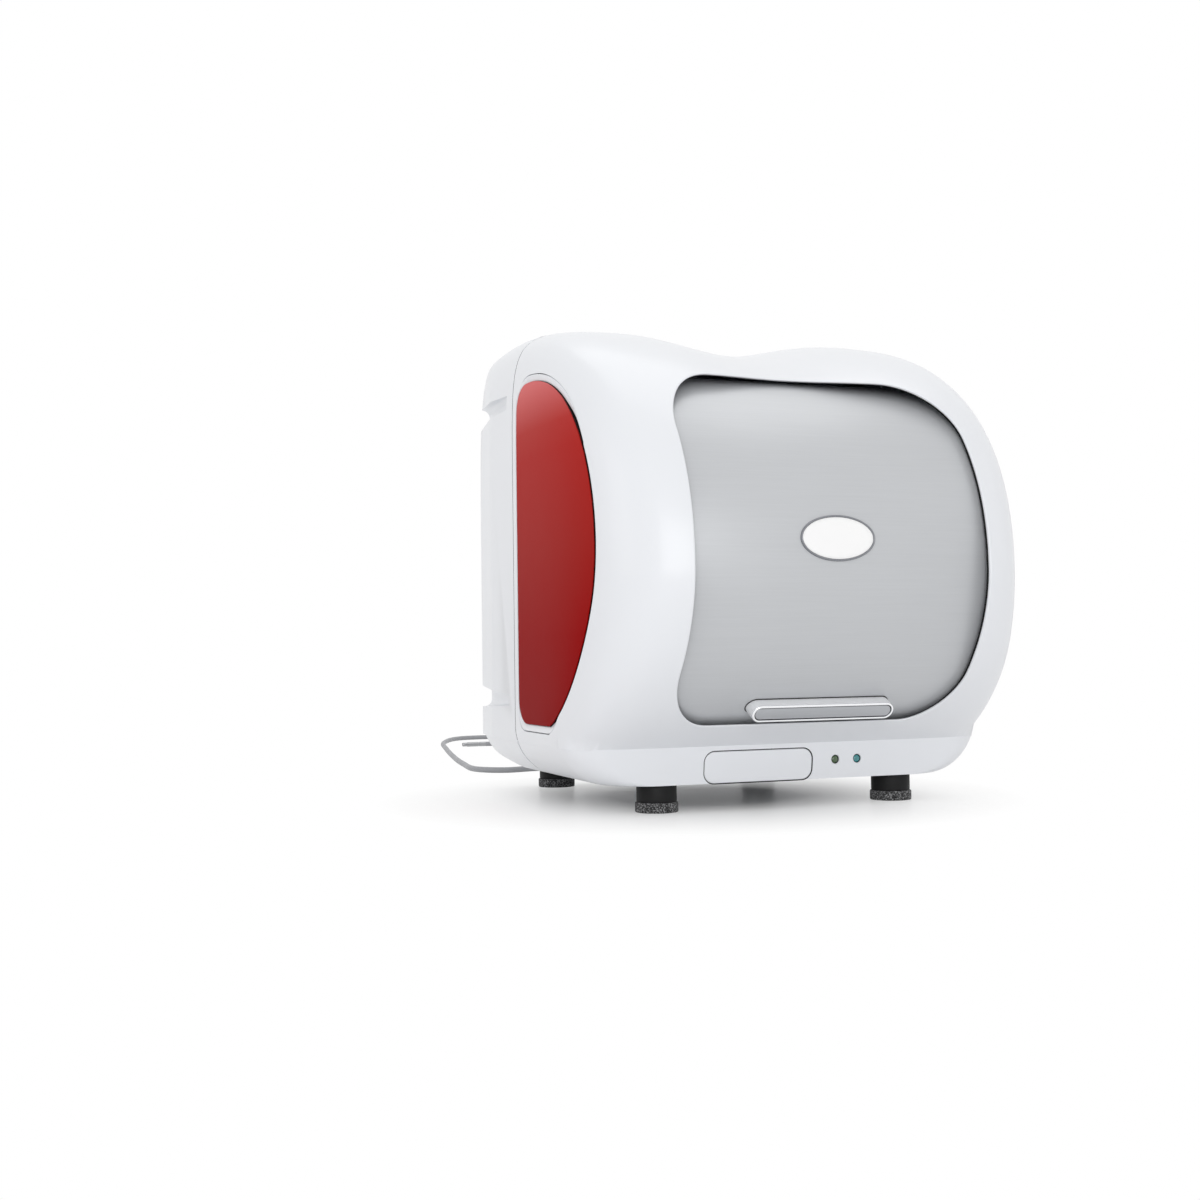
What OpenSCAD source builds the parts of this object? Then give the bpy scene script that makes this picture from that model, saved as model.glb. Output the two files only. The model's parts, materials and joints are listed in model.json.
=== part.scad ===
/* [Body] */
// Width across the two sides
body_w = 429; // [421:1:440]
// Height from the table to the crown
body_h = 470; // [462:1:485]
// Reach of the belly in front of the origin
front_reach = 232.4; // [231:0.1:236]
// Reach of the flat back behind the origin
rear_reach = 227.5; // [224:0.5:236]
// Height of the underside above the table
underside_z = 25; // [22:0.5:27]
// Height at which the belly stands furthest forward
belly_z = 214; // [208:1:220]
// Distance of the crown behind the origin
crown_y = 127; // [120:1:132]
// Depth of the saddle in the middle of the crown
saddle_drop = 17; // [8:1:22]
// Half the width of the saddle
saddle_half = 122; // [100:1:135]
// Height of the crease above the skirt
crease_z = 59; // [57:0.5:61]
// Thickness of the moulded housing
wall = 3.5; // [2.5:0.1:3.6]
// Distance of the parting plane behind the origin
parting_y = 50; // [48:1:54]
// Width of the line between the two housings
parting_gap = 0.6; // [0.4:0.1:1]

/* [Door] */
// Distance of the door's hinge line in front of the origin
hinge_y = 48; // [46:0.5:50]
// Height of the door's hinge line
hinge_z = 228; // [226:0.5:230]
// Outer radius of the drum-shaped door
door_r = 170; // [166:0.5:170]
// Height by which the door's upper half stands above its lower half
door_rise = 4.5; // [2:0.5:4.5]
// Thickness of the door
door_t = 4; // [3:0.1:5]
// Width of the door opening
opening_w = 284; // [270:1:286]
// Height of the opening's lower edge
opening_low = 79.5; // [78:0.5:84]
// Height of the opening's upper edge
opening_high = 392; // [380:1:394]
// Radius of the opening's upper corners
opening_r_top = 58; // [40:1:66]
// Radius of the opening's lower corners
opening_r_low = 46; // [36:1:56]
// Overlap of the door behind the housing at each side
door_lap = 4; // [3:0.5:5]
// Angle of the door's lower edge below the hinge line
door_low_angle = 62; // [61:0.5:62.5]
// Angle of the door's upper edge above the hinge line
door_high_angle = 86; // [80:1:90]
// Radius of the hinge pins
hinge_pin_r = 8; // [6:0.5:9]
// Thickness of each door arm
arm_t = 4; // [3:0.5:4.5]

/* [Handle and badge] */
// Length of the handle bar
handle_w = 141; // [120:1:146]
// Height of the handle bar's face
handle_h = 16.6; // [14:0.2:18]
// Reach of the handle from the door
handle_out = 15; // [12:0.5:16]
// Distance of the handle from the middle
handle_x = 6; // [-6:0.5:8]
// Angle of the handle's place on the door below the hinge line
handle_angle = 51; // [48:0.5:51.5]
// Tilt of the handle bar below the horizontal
handle_tilt = 29; // [20:1:36]
// Width of the oval badge
badge_w = 72; // [60:1:80]
// Height of the oval badge
badge_h = 40; // [34:1:46]
// Distance of the badge from the middle
badge_x = -5; // [-8:0.5:8]
// Angle of the badge above the hinge line
badge_angle = 4; // [2:0.5:8]

/* [Side panels] */
// Radius of each side panel's front edge
panel_r = 169.5; // [165:0.5:172]
// Centre of that edge behind the origin
panel_y = 12; // [10:0.5:14]
// Centre height of that edge
panel_z = 234.5; // [233:0.5:236]
// Straight rear edge of the panel behind the origin
panel_back = 38; // [35:0.5:39]
// Height of the panel's flat lower edge
panel_low = 78; // [76:0.5:84]
// Depth of the pocket that holds the panel
pocket_depth = 6; // [5:0.5:7]
// Gap between the panel and its pocket
pocket_gap = 1.6; // [1:0.1:2.5]

/* [Skirt] */
// Centre of the waste drawer's front, to the right of the middle
drawer_x = -31; // [-36:1:-26]
// Width of the waste drawer's front
drawer_w = 109; // [100:1:114]
// Height of the drawer front's upper edge
drawer_top = 54; // [52:0.5:55]
// Height of the drawer front's lower edge
drawer_low = 25; // [25:0.5:28]
// Length of the drawer's tray
tray_len = 130; // [110:1:140]
// Distance of the first indicator lamp from the middle
lamp_x = 48; // [44:1:52]
// Distance between the two indicator lamps
lamp_pitch = 23; // [20:1:28]
// Radius of an indicator lamp
lamp_r = 3.6; // [3:0.1:4.4]

/* [Feet] */
// Distance of the feet's centres in from the widest part of each side
foot_side = 92.5; // [88:0.5:98]
// Distance of the front feet's centres behind the crease
foot_ahead = 28; // [26:0.5:34]
// Distance of the rear feet's centres in from the back
foot_behind = 24.5; // [23:0.5:36]
// Diameter of a rubber foot
foot_d = 36.8; // [32:0.2:38]
// Diameter of a felt pad
pad_d = 39.4; // [34:0.2:40]
// Thickness of a felt pad
pad_t = 9; // [7:0.5:10]

/* [Chamber] */
// Height of the chamber's deck
deck_z = 100; // [98:0.5:102]
// Distance of the plate and tray centres from the middle
nest_x = 66; // [65.5:0.1:66.5]
// Distance of the nests' centre line in front of the origin
nest_y = 40; // [36:1:44]
// Length of a standard plate's footprint
plate_w = 127.8; // [127.6:0.1:128]
// Width of a standard plate's footprint
plate_d = 85.5; // [85.3:0.1:85.7]
// Height of a nest's floor above the deck
nest_floor = 12; // [10:0.5:14]
// Number of optical fibres in the head
fibre_count = 8; // [4:1:8]
// Distance between two fibres
fibre_pitch = 9; // [8:0.5:9.5]
// Radius of the carriage's guide rods
rod_r = 5; // [4:0.5:6]
// Radius of the lead screw
screw_r = 4; // [3:0.5:4.5]
// Half the width of the carriage
carriage_half = 14; // [12:0.5:14.5]

/* [Rear bay] */
// Depth of the bay behind the bulkhead
bay_depth = 93.5; // [90:0.5:94]
// Distance of the opening in the back from the widest part of each side
back_side = 49.5; // [46.5:0.5:54]
// Height of that opening's lower edge
back_low = 45; // [42:1:46]
// Height of that opening's upper edge
back_high = 330; // [320:1:334]
// Distance of the fan from the middle, to the left
fan_x = 80; // [70:1:90]
// Height of the fan's centre
fan_z = 250; // [240:1:260]
// Width of the fan's frame
fan_w = 80; // [76:1:84]
// Distance of the power inlet from the middle
inlet_x = 60; // [54:1:64]
// Height of the row of connectors
port_z = 70; // [66:1:74]
// Diameter of the cord
cord_d = 7; // [6:0.5:7]

/* [Hidden] */
$fn = 64;

// Small clearances used again and again
fit = 0.05;
slip = 0.3;
half_w = body_w / 2;
foot_x = half_w - foot_side;
foot_rear = rear_reach - foot_behind;
bulkhead_y = rear_reach - bay_depth;
back_half = half_w - back_side;

// Form of the body: exponents of its curves and of its edges
curve_top = 2.11;
curve_low = 1.83;
curve_back = 4.5;
edge_front = 6.1;
edge_top = 10;
edge_low = 20;
belly_drop = 221;
rear_half = half_w - 14.5;
rear_round = 8;
corner_r = 50;
skirt_lean = 4;

// How much of its size a slice keeps at x, for a body of half width h and edge exponent m
function keep(x, h, m) = pow(max(0.0001, 1 - pow(min(1, abs(x) / h), m)), 1 / m);

// Height of the crown at x, with the saddle in its middle
function crown(x) = body_h - (abs(x) < saddle_half ? saddle_drop * pow(cos(90 * x / saddle_half), 2) : 0);

// Reach of the back behind the crown at x: flat, rounded, then drawn in to the sides
function tail(x, inset) =
  let(full = rear_reach - crown_y - inset, edge = rear_half - inset, flat = edge - rear_round, a = abs(x))
  a <= flat ? full
  : a <= edge ? full - rear_round * (1 - sqrt(max(0, 1 - pow((a - flat) / rear_round, 2))))
  : (full - rear_round) * max(0.02, (half_w - inset - a) / (half_w - inset - edge));

// Height of the rounded lower corner of the body at x
function corner_floor(x, inset) =
  let(a = min(corner_r, max(0, abs(x) - (half_w - corner_r) + inset)))
  underside_z + corner_r - sqrt(corner_r * corner_r - a * a);

function edge_mix(m, angle, curve) = edge_front + (m - edge_front) * pow(sin(angle), 4 / curve);

// Outline of the body in the plane at x, drawn as y and z
function body_slice(x, inset, steps) =
  let(h = half_w - inset, fore = crown_y + front_reach - inset,
      up = crown(x) - inset - belly_z, low = belly_drop - inset,
      floor_z = max(inset > 0 ? crease_z + 2.5 : crease_z, corner_floor(x, inset)),
      kt = keep(x, h, edge_top), kl = keep(x, h, edge_low),
      last = asin(min(1, pow((belly_z - floor_z) / (low * kl), curve_low / 2))),
      back = tail(x, inset))
  concat(
    [for (i = [0 : steps - 1]) let(t = last * (1 - i / steps),
        k = i == 0 ? kl : keep(x, h, edge_mix(edge_low, t, curve_low)))
      [crown_y - fore * k * pow(cos(t), 2 / curve_low),
       i == 0 ? floor_z : max(floor_z, belly_z - low * k * pow(sin(t), 2 / curve_low))]],
    [for (i = [0 : 2 * steps]) let(t = 45 * i / steps, k = keep(x, h, edge_mix(edge_top, t, curve_top)))
      [crown_y - fore * k * pow(cos(t), 2 / curve_top), belly_z + up * k * pow(sin(t), 2 / curve_top)]],
    [for (i = [1 : 2 * steps]) let(t = 90 - 45 * i / steps)
      [crown_y + back * pow(cos(t), 2 / curve_back), belly_z + up * kt * pow(sin(t), 2 / curve_back)]],
    [[crown_y + back, floor_z]]);

// Stations across the width: even over the saddle, then closing up towards the sides
function stations(h) = concat(
  [for (i = [0 : 6]) saddle_half * i / 6],
  [saddle_half + (h - saddle_half) * 0.18],
  [for (k = [0.975, 0.95, 0.91, 0.85, 0.77, 0.66, 0.5]) h * pow(1 - pow(k, edge_front), 1 / edge_front)]);
function both_sides(list) = concat([for (i = [len(list) - 1 : -1 : 1]) -list[i]], list);

// Solid through a row of outlines that all have the same number of points
module loft(rows) {
  n = len(rows[0]);
  m = len(rows);
  polyhedron(
    points = [for (row = rows) for (p = row) p],
    faces = concat(
      [[for (j = [0 : n - 1]) j]],
      [for (i = [0 : m - 2]) for (j = [0 : n - 1]) [i * n + j, (i + 1) * n + j, (i + 1) * n + (j + 1) % n]],
      [for (i = [0 : m - 2]) for (j = [0 : n - 1]) [i * n + j, (i + 1) * n + (j + 1) % n, i * n + (j + 1) % n]],
      [[for (j = [n - 1 : -1 : 0]) (m - 1) * n + j]]));
}

// Convex solid round a list of points, given as rings of n points each
module wrap(points, n) {
  hull() polyhedron(points = points,
    faces = [for (i = [0 : n : len(points) - 1]) [for (j = [0 : n - 1]) i + j]]);
}

// Upper body above the crease, drawn in by inset
module upper_body(inset, steps = 7) {
  xs = both_sides(stations(half_w - inset));
  n = len(body_slice(0, inset, steps));
  for (i = [0 : len(xs) - 2])
    wrap([for (x = [xs[i], xs[i + 1]]) for (p = body_slice(x, inset, steps)) [x, p[0], p[1]]], n);
}

// Front of the skirt at height z
crease_front = crown_y - (crown_y + front_reach)
  * pow(cos(asin(pow((belly_z - crease_z) / belly_drop, curve_low / 2))), 2 / curve_low);
foot_front_y = crease_front + foot_ahead;
function skirt_front(z) = crease_front + skirt_lean * (crease_z - z) / (crease_z - underside_z);
function skirt_half(z) = half_w - corner_r
  + sqrt(corner_r * corner_r - pow(max(0, underside_z + corner_r - z), 2));
function skirt_back(z) = rear_reach - 4 * pow(max(0, (crease_z - z) / (crease_z - underside_z)), 2);

// Outline of the skirt at height z, as a rectangle with round corners
function skirt_ring(z, inset, zz) =
  let(w = skirt_half(z) - inset, f = skirt_front(z) + inset, b = skirt_back(z) - inset,
      rf = 34 - inset, rb = 9 - inset, v = w - 14.5, q = 5)
  concat(
    [for (i = [0 : q]) [w - rf + rf * sin(90 * i / q), f + rf - rf * cos(90 * i / q), zz]],
    [[w, crown_y, zz]],
    [for (i = [0 : q]) [v - rb + rb * cos(90 * i / q), b - rb + rb * sin(90 * i / q), zz]],
    [for (i = [0 : q]) [-v + rb - rb * sin(90 * i / q), b - rb + rb * cos(90 * i / q), zz]],
    [[-w, crown_y, zz]],
    [for (i = [0 : q]) [-w + rf - rf * cos(90 * i / q), f + rf - rf * sin(90 * i / q), zz]]);

module skirt_body(inset) {
  levels = [underside_z, underside_z + 3, underside_z + 8, underside_z + 16, underside_z + 25, crease_z];
  rise = inset > 0 ? 3 : 0.5;
  wrap([for (i = [0 : len(levels)])
    let(z = levels[min(i, len(levels) - 1)],
        zz = i == len(levels) ? crease_z + rise : i == 0 && inset > 0 ? underside_z - 1 : z)
    each skirt_ring(z, inset, zz)], 26);
}

module body_solid(inset, steps = 7) {
  upper_body(inset, steps);
  skirt_body(inset);
}

// Half space in front of or behind a plane
module ahead_of(y) { translate([-300, y - 600, -10]) cube([600, 600, 600]); }
module behind(y) { translate([-300, y, -10]) cube([600, 600, 600]); }

// Door opening seen from the front, grown by extra
module opening_outline(extra = 0) {
  w = opening_w / 2 + extra;
  rt = opening_r_top + extra;
  rl = opening_r_low + extra;
  low = opening_low - extra;
  high = opening_high + extra;
  difference() {
    translate([-w, low]) square([2 * w, high - low]);
    for (s = [-1, 1]) {
      translate([s * w, high]) difference() {
        square(2 * rt, center = true);
        translate([-s * rt, -rt]) circle(rt);
        translate([-s * 2 * rt, 0]) square([2 * rt, 4 * rt], center = true);
        translate([0, -2 * rt]) square([4 * rt, 2 * rt], center = true);
      }
      translate([s * w, low]) difference() {
        square(2 * rl, center = true);
        translate([-s * rl, rl]) circle(rl);
        translate([-s * 2 * rl, 0]) square([2 * rl, 4 * rl], center = true);
        translate([0, 2 * rl]) square([4 * rl, 2 * rl], center = true);
      }
    }
  }
}

// Rectangle with round corners, centred
module round_rect(w, h, r) {
  square([w - 2 * r, h], center = true);
  square([w, h - 2 * r], center = true);
  for (x = [-1, 1], z = [-1, 1]) translate([x * (w / 2 - r), z * (h / 2 - r)]) circle(r);
}

// Side panel seen from the side, drawn as y and z and grown by extra
module panel_outline(extra = 0) {
  r = 24;
  high = panel_z + panel_r;
  intersection() {
    translate([panel_y, panel_z]) circle(panel_r + extra, $fn = 96);
    union() {
      translate([panel_y - 200, panel_low - extra])
        square([panel_back + extra - r - panel_y + 200, high - panel_low + 2 * extra]);
      translate([panel_y - 20, panel_low - extra + r])
        square([panel_back + extra - panel_y + 20, high - panel_low - 2 * r + extra]);
      translate([panel_back + extra - r, panel_low - extra + r]) circle(r);
      translate([panel_back + extra - r, high - r]) circle(r);
    }
  }
}

// Prism of a side outline, on side s of the body
module side_prism(s, extra, inner) {
  translate([s > 0 ? inner : -inner - 60, 0, 0]) rotate([90, 0, 90])
    linear_extrude(60) panel_outline(extra);
}

// Drawer front seen from the front
module drawer_outline(extra = 0) {
  translate([drawer_x, (drawer_low + drawer_top) / 2])
    round_rect(drawer_w + 2 * extra, drawer_top - drawer_low + 2 * extra, 10 + extra);
}

module front_prism(y0, y1) { translate([0, y1, 0]) rotate([90, 0, 0]) linear_extrude(y1 - y0) children(); }

module front_shell() {
  color("white") difference() {
    union() {
      difference() {
        body_solid(0);
        body_solid(wall, 6);
      }
      for (s = [-1, 1]) intersection() {
        difference() {
          upper_body(0);
          upper_body(pocket_depth + 2.5, 4);
        }
        side_prism(s, pocket_gap + 4, half_w - 60);
      }
    }
    behind(parting_y - parting_gap / 2);
    front_prism(-300, hinge_line - 10) opening_outline();
    for (s = [-1, 1]) difference() {
      side_prism(s, pocket_gap, half_w - 40);
      upper_body(pocket_depth, 7);
    }
    front_prism(-200, crease_front + 30) drawer_outline(0.8);
    for (i = [0, 1]) translate([lamp_x + i * lamp_pitch, 0, lamp_z])
      rotate([90, 0, 0]) cylinder(r = lamp_r + slip, h = 200, $fn = 32);
  }
}

// Finger slot at the back edge of a side: side s, a wedge between its ends, grown by extra
module finger_slot(s, ends, extra = 0) {
  hull() {
    for (q = [[slot_front - extra, 4.5 + extra, ends[2], ends[3]], [rear_reach + 12, 29 + extra, ends[0], ends[1]]])
      translate([s > 0 ? half_w - q[1] : -half_w - 30, q[0], q[2] - extra])
        cube([q[1] + 30, 1, q[3] - q[2] + 2 * extra]);
  }
}

module rear_shell() {
  color("whitesmoke") difference() {
    union() {
      difference() {
        body_solid(0);
        body_solid(wall, 6);
      }
      intersection() {
        upper_body(0.1, 7);
        for (s = [-1, 1], ends = slot_rows) finger_slot(s, ends, wall);
      }
    }
    ahead_of(parting_y + parting_gap / 2);
    for (s = [-1, 1], ends = slot_rows) finger_slot(s, ends);
    front_prism(rear_reach - 20, rear_reach + 20) translate([0, (back_low + back_high) / 2])
      round_rect(2 * back_half, back_high - back_low, 12);
  }
}

module side_panel(s) {
  color("firebrick") intersection() {
    difference() {
      upper_body(0.6, 7);
      upper_body(pocket_depth - slip, 7);
    }
    side_prism(s, 0, half_w - 40);
  }
}
module left_side_panel() { side_panel(-1); }
module right_side_panel() { side_panel(1); }

// Where the slots begin, and their faces: low and high at the back, low and high at the front
slot_front = 70;
slot_rows = [[88, 112, 94, 105], [389, 413, 388, 402]];
hinge_line = -hinge_y;
lamp_z = 42.5;
floor_z = underside_z + 3;

// Metal floor that the whole machine stands on
module base_plate() {
  inset = wall + slip;
  color("silver") difference() {
    translate([0, 0, underside_z]) linear_extrude(floor_z - underside_z)
      polygon([for (p = skirt_ring(underside_z, inset, 0)) [p[0], p[1]]]);
    translate([drawer_x - drawer_w / 2 - 1, -300, underside_z - 1])
      cube([drawer_w + 2, 300 + skirt_front(underside_z) + 12, 9]);
    for (x = [-foot_x, foot_x], y = [foot_front_y, foot_rear])
      translate([x, y, underside_z - 1]) cylinder(r = 3, h = 9, $fn = 24);
  }
}

module at_feet() { for (x = [-foot_x, foot_x], y = [foot_front_y, foot_rear]) translate([x, y, 0]) children(); }
module rubber_feet() {
  color("dimgray") at_feet() difference() {
    translate([0, 0, pad_t]) cylinder(d = foot_d, h = underside_z - pad_t);
    translate([0, 0, pad_t - 1]) cylinder(r = 6, h = 5);
    translate([0, 0, pad_t]) cylinder(r = 3, h = 30, $fn = 24);
  }
}
module felt_pads() { color("gray") at_feet() cylinder(d = pad_d, h = pad_t); }
module foot_screws() {
  color("silver") at_feet() {
    translate([0, 0, pad_t + 0.5]) cylinder(r = 5.6, h = 3.2);
    translate([0, 0, pad_t + 2]) cylinder(r = 2.9, h = floor_z - pad_t + 4);
    translate([0, 0, floor_z]) cylinder(r = 5, h = 4, $fn = 6);
  }
}

arm_inner = opening_w / 2 - 0.5;
bracket_inner = opening_w / 2 + door_lap + 4;
bracket_t = 4;
bracket_y0 = hinge_line - 40;
bracket_y1 = hinge_line + 60;

// Plates that carry the door's hinge line, standing on the floor
module hinge_brackets() {
  color("silver") for (s = [-1, 1]) translate([s > 0 ? bracket_inner : -bracket_inner - bracket_t, 0, 0]) {
    rotate([90, 0, 90]) linear_extrude(bracket_t) difference() {
      union() {
        polygon([[bracket_y0, floor_z], [bracket_y1, floor_z],
          [hinge_line + 23, hinge_z], [hinge_line - 23, hinge_z]]);
        translate([hinge_line, hinge_z]) circle(23);
      }
      translate([hinge_line, hinge_z]) circle(hinge_pin_r);
      translate([hinge_line + 3, hinge_z - 90]) circle(16);
    }
    translate([s > 0 ? -10 : bracket_t, bracket_y0, floor_z]) cube([10, bracket_y1 - bracket_y0, 3]);
  }
}

module hinge_pins() {
  color("gray") for (s = [-1, 1]) translate([0, hinge_line, hinge_z]) rotate([0, s * 90, 0]) {
    translate([0, 0, arm_inner - 1]) cylinder(r = hinge_pin_r, h = bracket_inner + bracket_t - arm_inner + 1);
    translate([0, 0, bracket_inner + bracket_t]) cylinder(r = hinge_pin_r + 4, h = 3);
    translate([0, 0, arm_inner - 2.5]) cylinder(r = hinge_pin_r + 2, h = 2.2);
  }
}

// Cylinder about the hinge line
module drum(r, half, fn = 128) {
  translate([-half, hinge_line, hinge_z]) rotate([0, 90, 0]) cylinder(r = r, h = 2 * half, $fn = fn);
}
// The door's section: two half circles a little apart, joined by a straight front
module door_section(r) {
  translate([hinge_line, hinge_z]) circle(r, $fn = 128);
  translate([hinge_line, hinge_z + door_rise]) circle(r, $fn = 128);
  translate([hinge_line - r, hinge_z]) square([2 * r, door_rise]);
}
module door_form(r, half) {
  translate([-half, 0, 0]) rotate([90, 0, 90]) linear_extrude(2 * half) door_section(r);
}
// Direction at an angle above the hinge line, towards the front
function ray(angle, r) = [hinge_line - r * cos(angle), hinge_z + r * sin(angle)];
module door_wedge(r, from, to) {
  polygon([[hinge_line, hinge_z], ray(from, r), ray(from + (to - from) / 3, r * 1.3),
    ray(from + 2 * (to - from) / 3, r * 1.3), ray(to, r)]);
}

module door_panel() {
  half = opening_w / 2 + door_lap;
  color("silver") intersection() {
    difference() {
      door_form(door_r, half);
      door_form(door_r - door_t, half + 1);
    }
    translate([-half, 0, 0]) rotate([90, 0, 90]) linear_extrude(2 * half)
      door_wedge(door_r * 1.6, -door_low_angle, door_high_angle);
  }
}

// Two arms that carry the door on its hinge pins
module door_arms() {
  color("gainsboro") for (s = [-1, 1]) translate([s > 0 ? arm_inner : -arm_inner - arm_t, 0, 0])
    rotate([90, 0, 90]) linear_extrude(arm_t) difference() {
      union() {
        intersection() {
          difference() {
            door_section(door_r - door_t);
            door_section(door_r - door_t - 14);
          }
          door_wedge(door_r * 1.6, -door_low_angle, door_high_angle);
        }
        for (a = [-door_low_angle + 6, door_high_angle - 6])
          translate([hinge_line, hinge_z]) rotate(180 - a) translate([0, -8]) square([door_r - door_t - 7, 16]);
        translate([hinge_line, hinge_z]) circle(20);
      }
      translate([hinge_line, hinge_z]) circle(hinge_pin_r + fit);
    }
}

// Puts a child, drawn in x and z with its height along -y, on the door's face at an angle
module on_door(angle, r) {
  translate([0, hinge_line, hinge_z]) rotate([-angle, 0, 0]) translate([0, -r, 0])
    rotate([90, 0, 0]) children();
}
module stadium(w, h) {
  square([w - h, h], center = true);
  for (s = [-1, 1]) translate([s * (w - h) / 2, 0]) circle(h / 2, $fn = 48);
}

// Puts a child, drawn in x and z with its height along the handle bar, where the bar leaves the door
module on_handle() {
  place = ray(-handle_angle, door_r);
  translate([handle_x, place[0], place[1]]) rotate([handle_tilt, 0, 0]) rotate([90, 0, 0]) children();
}
module door_handle() {
  color("silver") difference() {
    on_handle() difference() {
      translate([0, 0, -12]) linear_extrude(handle_out + 12) stadium(handle_w, handle_h);
      translate([0, 0, handle_out - 1.5]) linear_extrude(5) stadium(handle_w - 5, handle_h - 5);
    }
    door_form(door_r, handle_w);
  }
}
module handle_face() {
  color("gainsboro") on_handle() translate([0, 0, handle_out - 1.5]) linear_extrude(1.3)
    stadium(handle_w - 5.6, handle_h - 5.6);
}

function oval(w, h, n) = [for (i = [0 : n - 1]) [w / 2 * cos(360 * i / n), h / 2 * sin(360 * i / n)]];
module badge_shape(w, h, r0, r1) {
  intersection() {
    difference() {
      door_form(r1, badge_w);
      door_form(r0, badge_w + 1);
    }
    on_door(badge_angle, door_r - 10) translate([badge_x, 0, 0]) linear_extrude(30) polygon(oval(w, h, 48));
  }
}
module badge_rim() {
  color("gray") difference() {
    badge_shape(badge_w, badge_h, door_r, door_r + 2);
    on_door(badge_angle, door_r - 12) translate([badge_x, 0, 0]) linear_extrude(40)
      polygon(oval(badge_w - 3.4, badge_h - 3.4, 48));
  }
}
module badge_face() { color("white") badge_shape(badge_w - 4, badge_h - 4, door_r, door_r + 1.4); }

module lamp(i) {
  translate([lamp_x + i * lamp_pitch, skirt_front(lamp_z) + 1.2, lamp_z]) rotate([-90, 0, 0]) {
    cylinder(r = lamp_r, h = wall + 2, $fn = 32);
    translate([0, 0, wall - 0.2]) cylinder(r = lamp_r + 2, h = 5, $fn = 32);
  }
}
module left_lamp() { color("darkgreen") lamp(0); }
module right_lamp() { color("teal") lamp(1); }

front_inner = skirt_front(underside_z) + wall + 1;
tray_half = drawer_w / 2 - 5;
tray_top = drawer_top - 2;

module waste_drawer_front() {
  color("whitesmoke") intersection() {
    skirt_body(0);
    front_prism(crease_front - 5, front_inner) drawer_outline();
  }
}
module waste_drawer_tray() {
  color("gray") translate([drawer_x - tray_half, front_inner, floor_z + slip]) difference() {
    cube([2 * tray_half, tray_len, tray_top - floor_z - slip]);
    translate([2, 2, 2]) cube([2 * tray_half - 4, tray_len - 4, 60]);
  }
}
module drawer_guides() {
  start = front_inner + 14;
  color("silver") for (s = [-1, 1]) translate([drawer_x + s * (tray_half + slip + 1.5), 0, floor_z]) {
    translate([-1.5, start, 0]) cube([3, tray_len, 16]);
    translate([s > 0 ? 1.5 : -9.5, start, 0]) cube([8, tray_len, 1.5]);
  }
}

gantry_x = 134;
deck_half = gantry_x + 4;
liner_r = 163;
deck_back = hinge_line + sqrt(pow(liner_r - 3, 2) - pow(hinge_z - deck_z, 2));

module deck_frame() {
  high = deck_z - 4 - floor_z;
  color("silver") for (s = [-1, 1]) {
    translate([s * 128 - 2, -72, floor_z]) cube([4, 120, high]);
    translate([s > 0 ? 112 : -126, -72, floor_z + high - 3]) cube([14, 120, 3]);
    translate([s > 0 ? 112 : -126, -72, floor_z]) cube([14, 120, 3]);
  }
}
module deck_plate() {
  color("gainsboro") difference() {
    translate([-deck_half, -140, deck_z - 4]) cube([2 * deck_half, deck_back + 140, 4]);
    translate([drawer_x - 40, -114, deck_z - 5]) cube([80, 22, 6]);
  }
}
module chamber_liner() {
  color("whitesmoke") intersection() {
    difference() {
      drum(liner_r, gantry_x);
      drum(liner_r - 3, gantry_x + 1);
    }
    translate([-gantry_x, 0, 0]) rotate([90, 0, 90]) linear_extrude(2 * gantry_x)
      polygon([[hinge_line, hinge_z], ray(76, 260), ray(120, 300), ray(180, 300), [hinge_line + 300, deck_z],
        [hinge_line + 10, deck_z]]);
  }
}

rod_y = 70;
rod_low = 185;
rod_high = 245;
screw_z = (rod_low + rod_high) / 2;
module along_x(y, z, x0, x1, r, n = 48) {
  translate([x0, y, z]) rotate([0, 90, 0]) cylinder(r = r, h = x1 - x0, $fn = n);
}
module gantry_plates() {
  color("whitesmoke") for (s = [-1, 1]) difference() {
    translate([s > 0 ? gantry_x : -gantry_x - 4, 0, 0]) rotate([90, 0, 90]) linear_extrude(4)
      intersection() {
        translate([hinge_line, hinge_z]) circle(liner_r, $fn = 128);
        translate([-300, deck_z]) square(600);
      }
    for (z = [rod_low, rod_high]) along_x(rod_y, z, -200, 200, rod_r);
    along_x(rod_y, screw_z, -200, 200, screw_r + fit);
  }
}
module guide_rods() {
  color("silver") for (z = [rod_low, rod_high]) along_x(rod_y, z, -deck_half, deck_half, rod_r);
}
// Lead screw with its coupling outside the right end wall
module lead_screw() {
  color("gray") {
    along_x(rod_y, screw_z, -deck_half - 1, deck_half + 8, screw_r);
    along_x(rod_y, screw_z, deck_half + 1, deck_half + 22, 9);
    along_x(rod_y, screw_z, -deck_half - 3, -deck_half - 0.4, 7);
  }
}
module drive_motor() {
  color("dimgray") {
    translate([deck_half + 26, rod_y - 21, screw_z - 21]) cube([32, 42, 42]);
    along_x(rod_y, screw_z, deck_half + 22.4, deck_half + 26, 11);
    for (y = [-1, 1], z = [-1, 1]) along_x(rod_y + y * 15.5, screw_z + z * 15.5, deck_half, deck_half + 26, 3, 24);
  }
}

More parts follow.
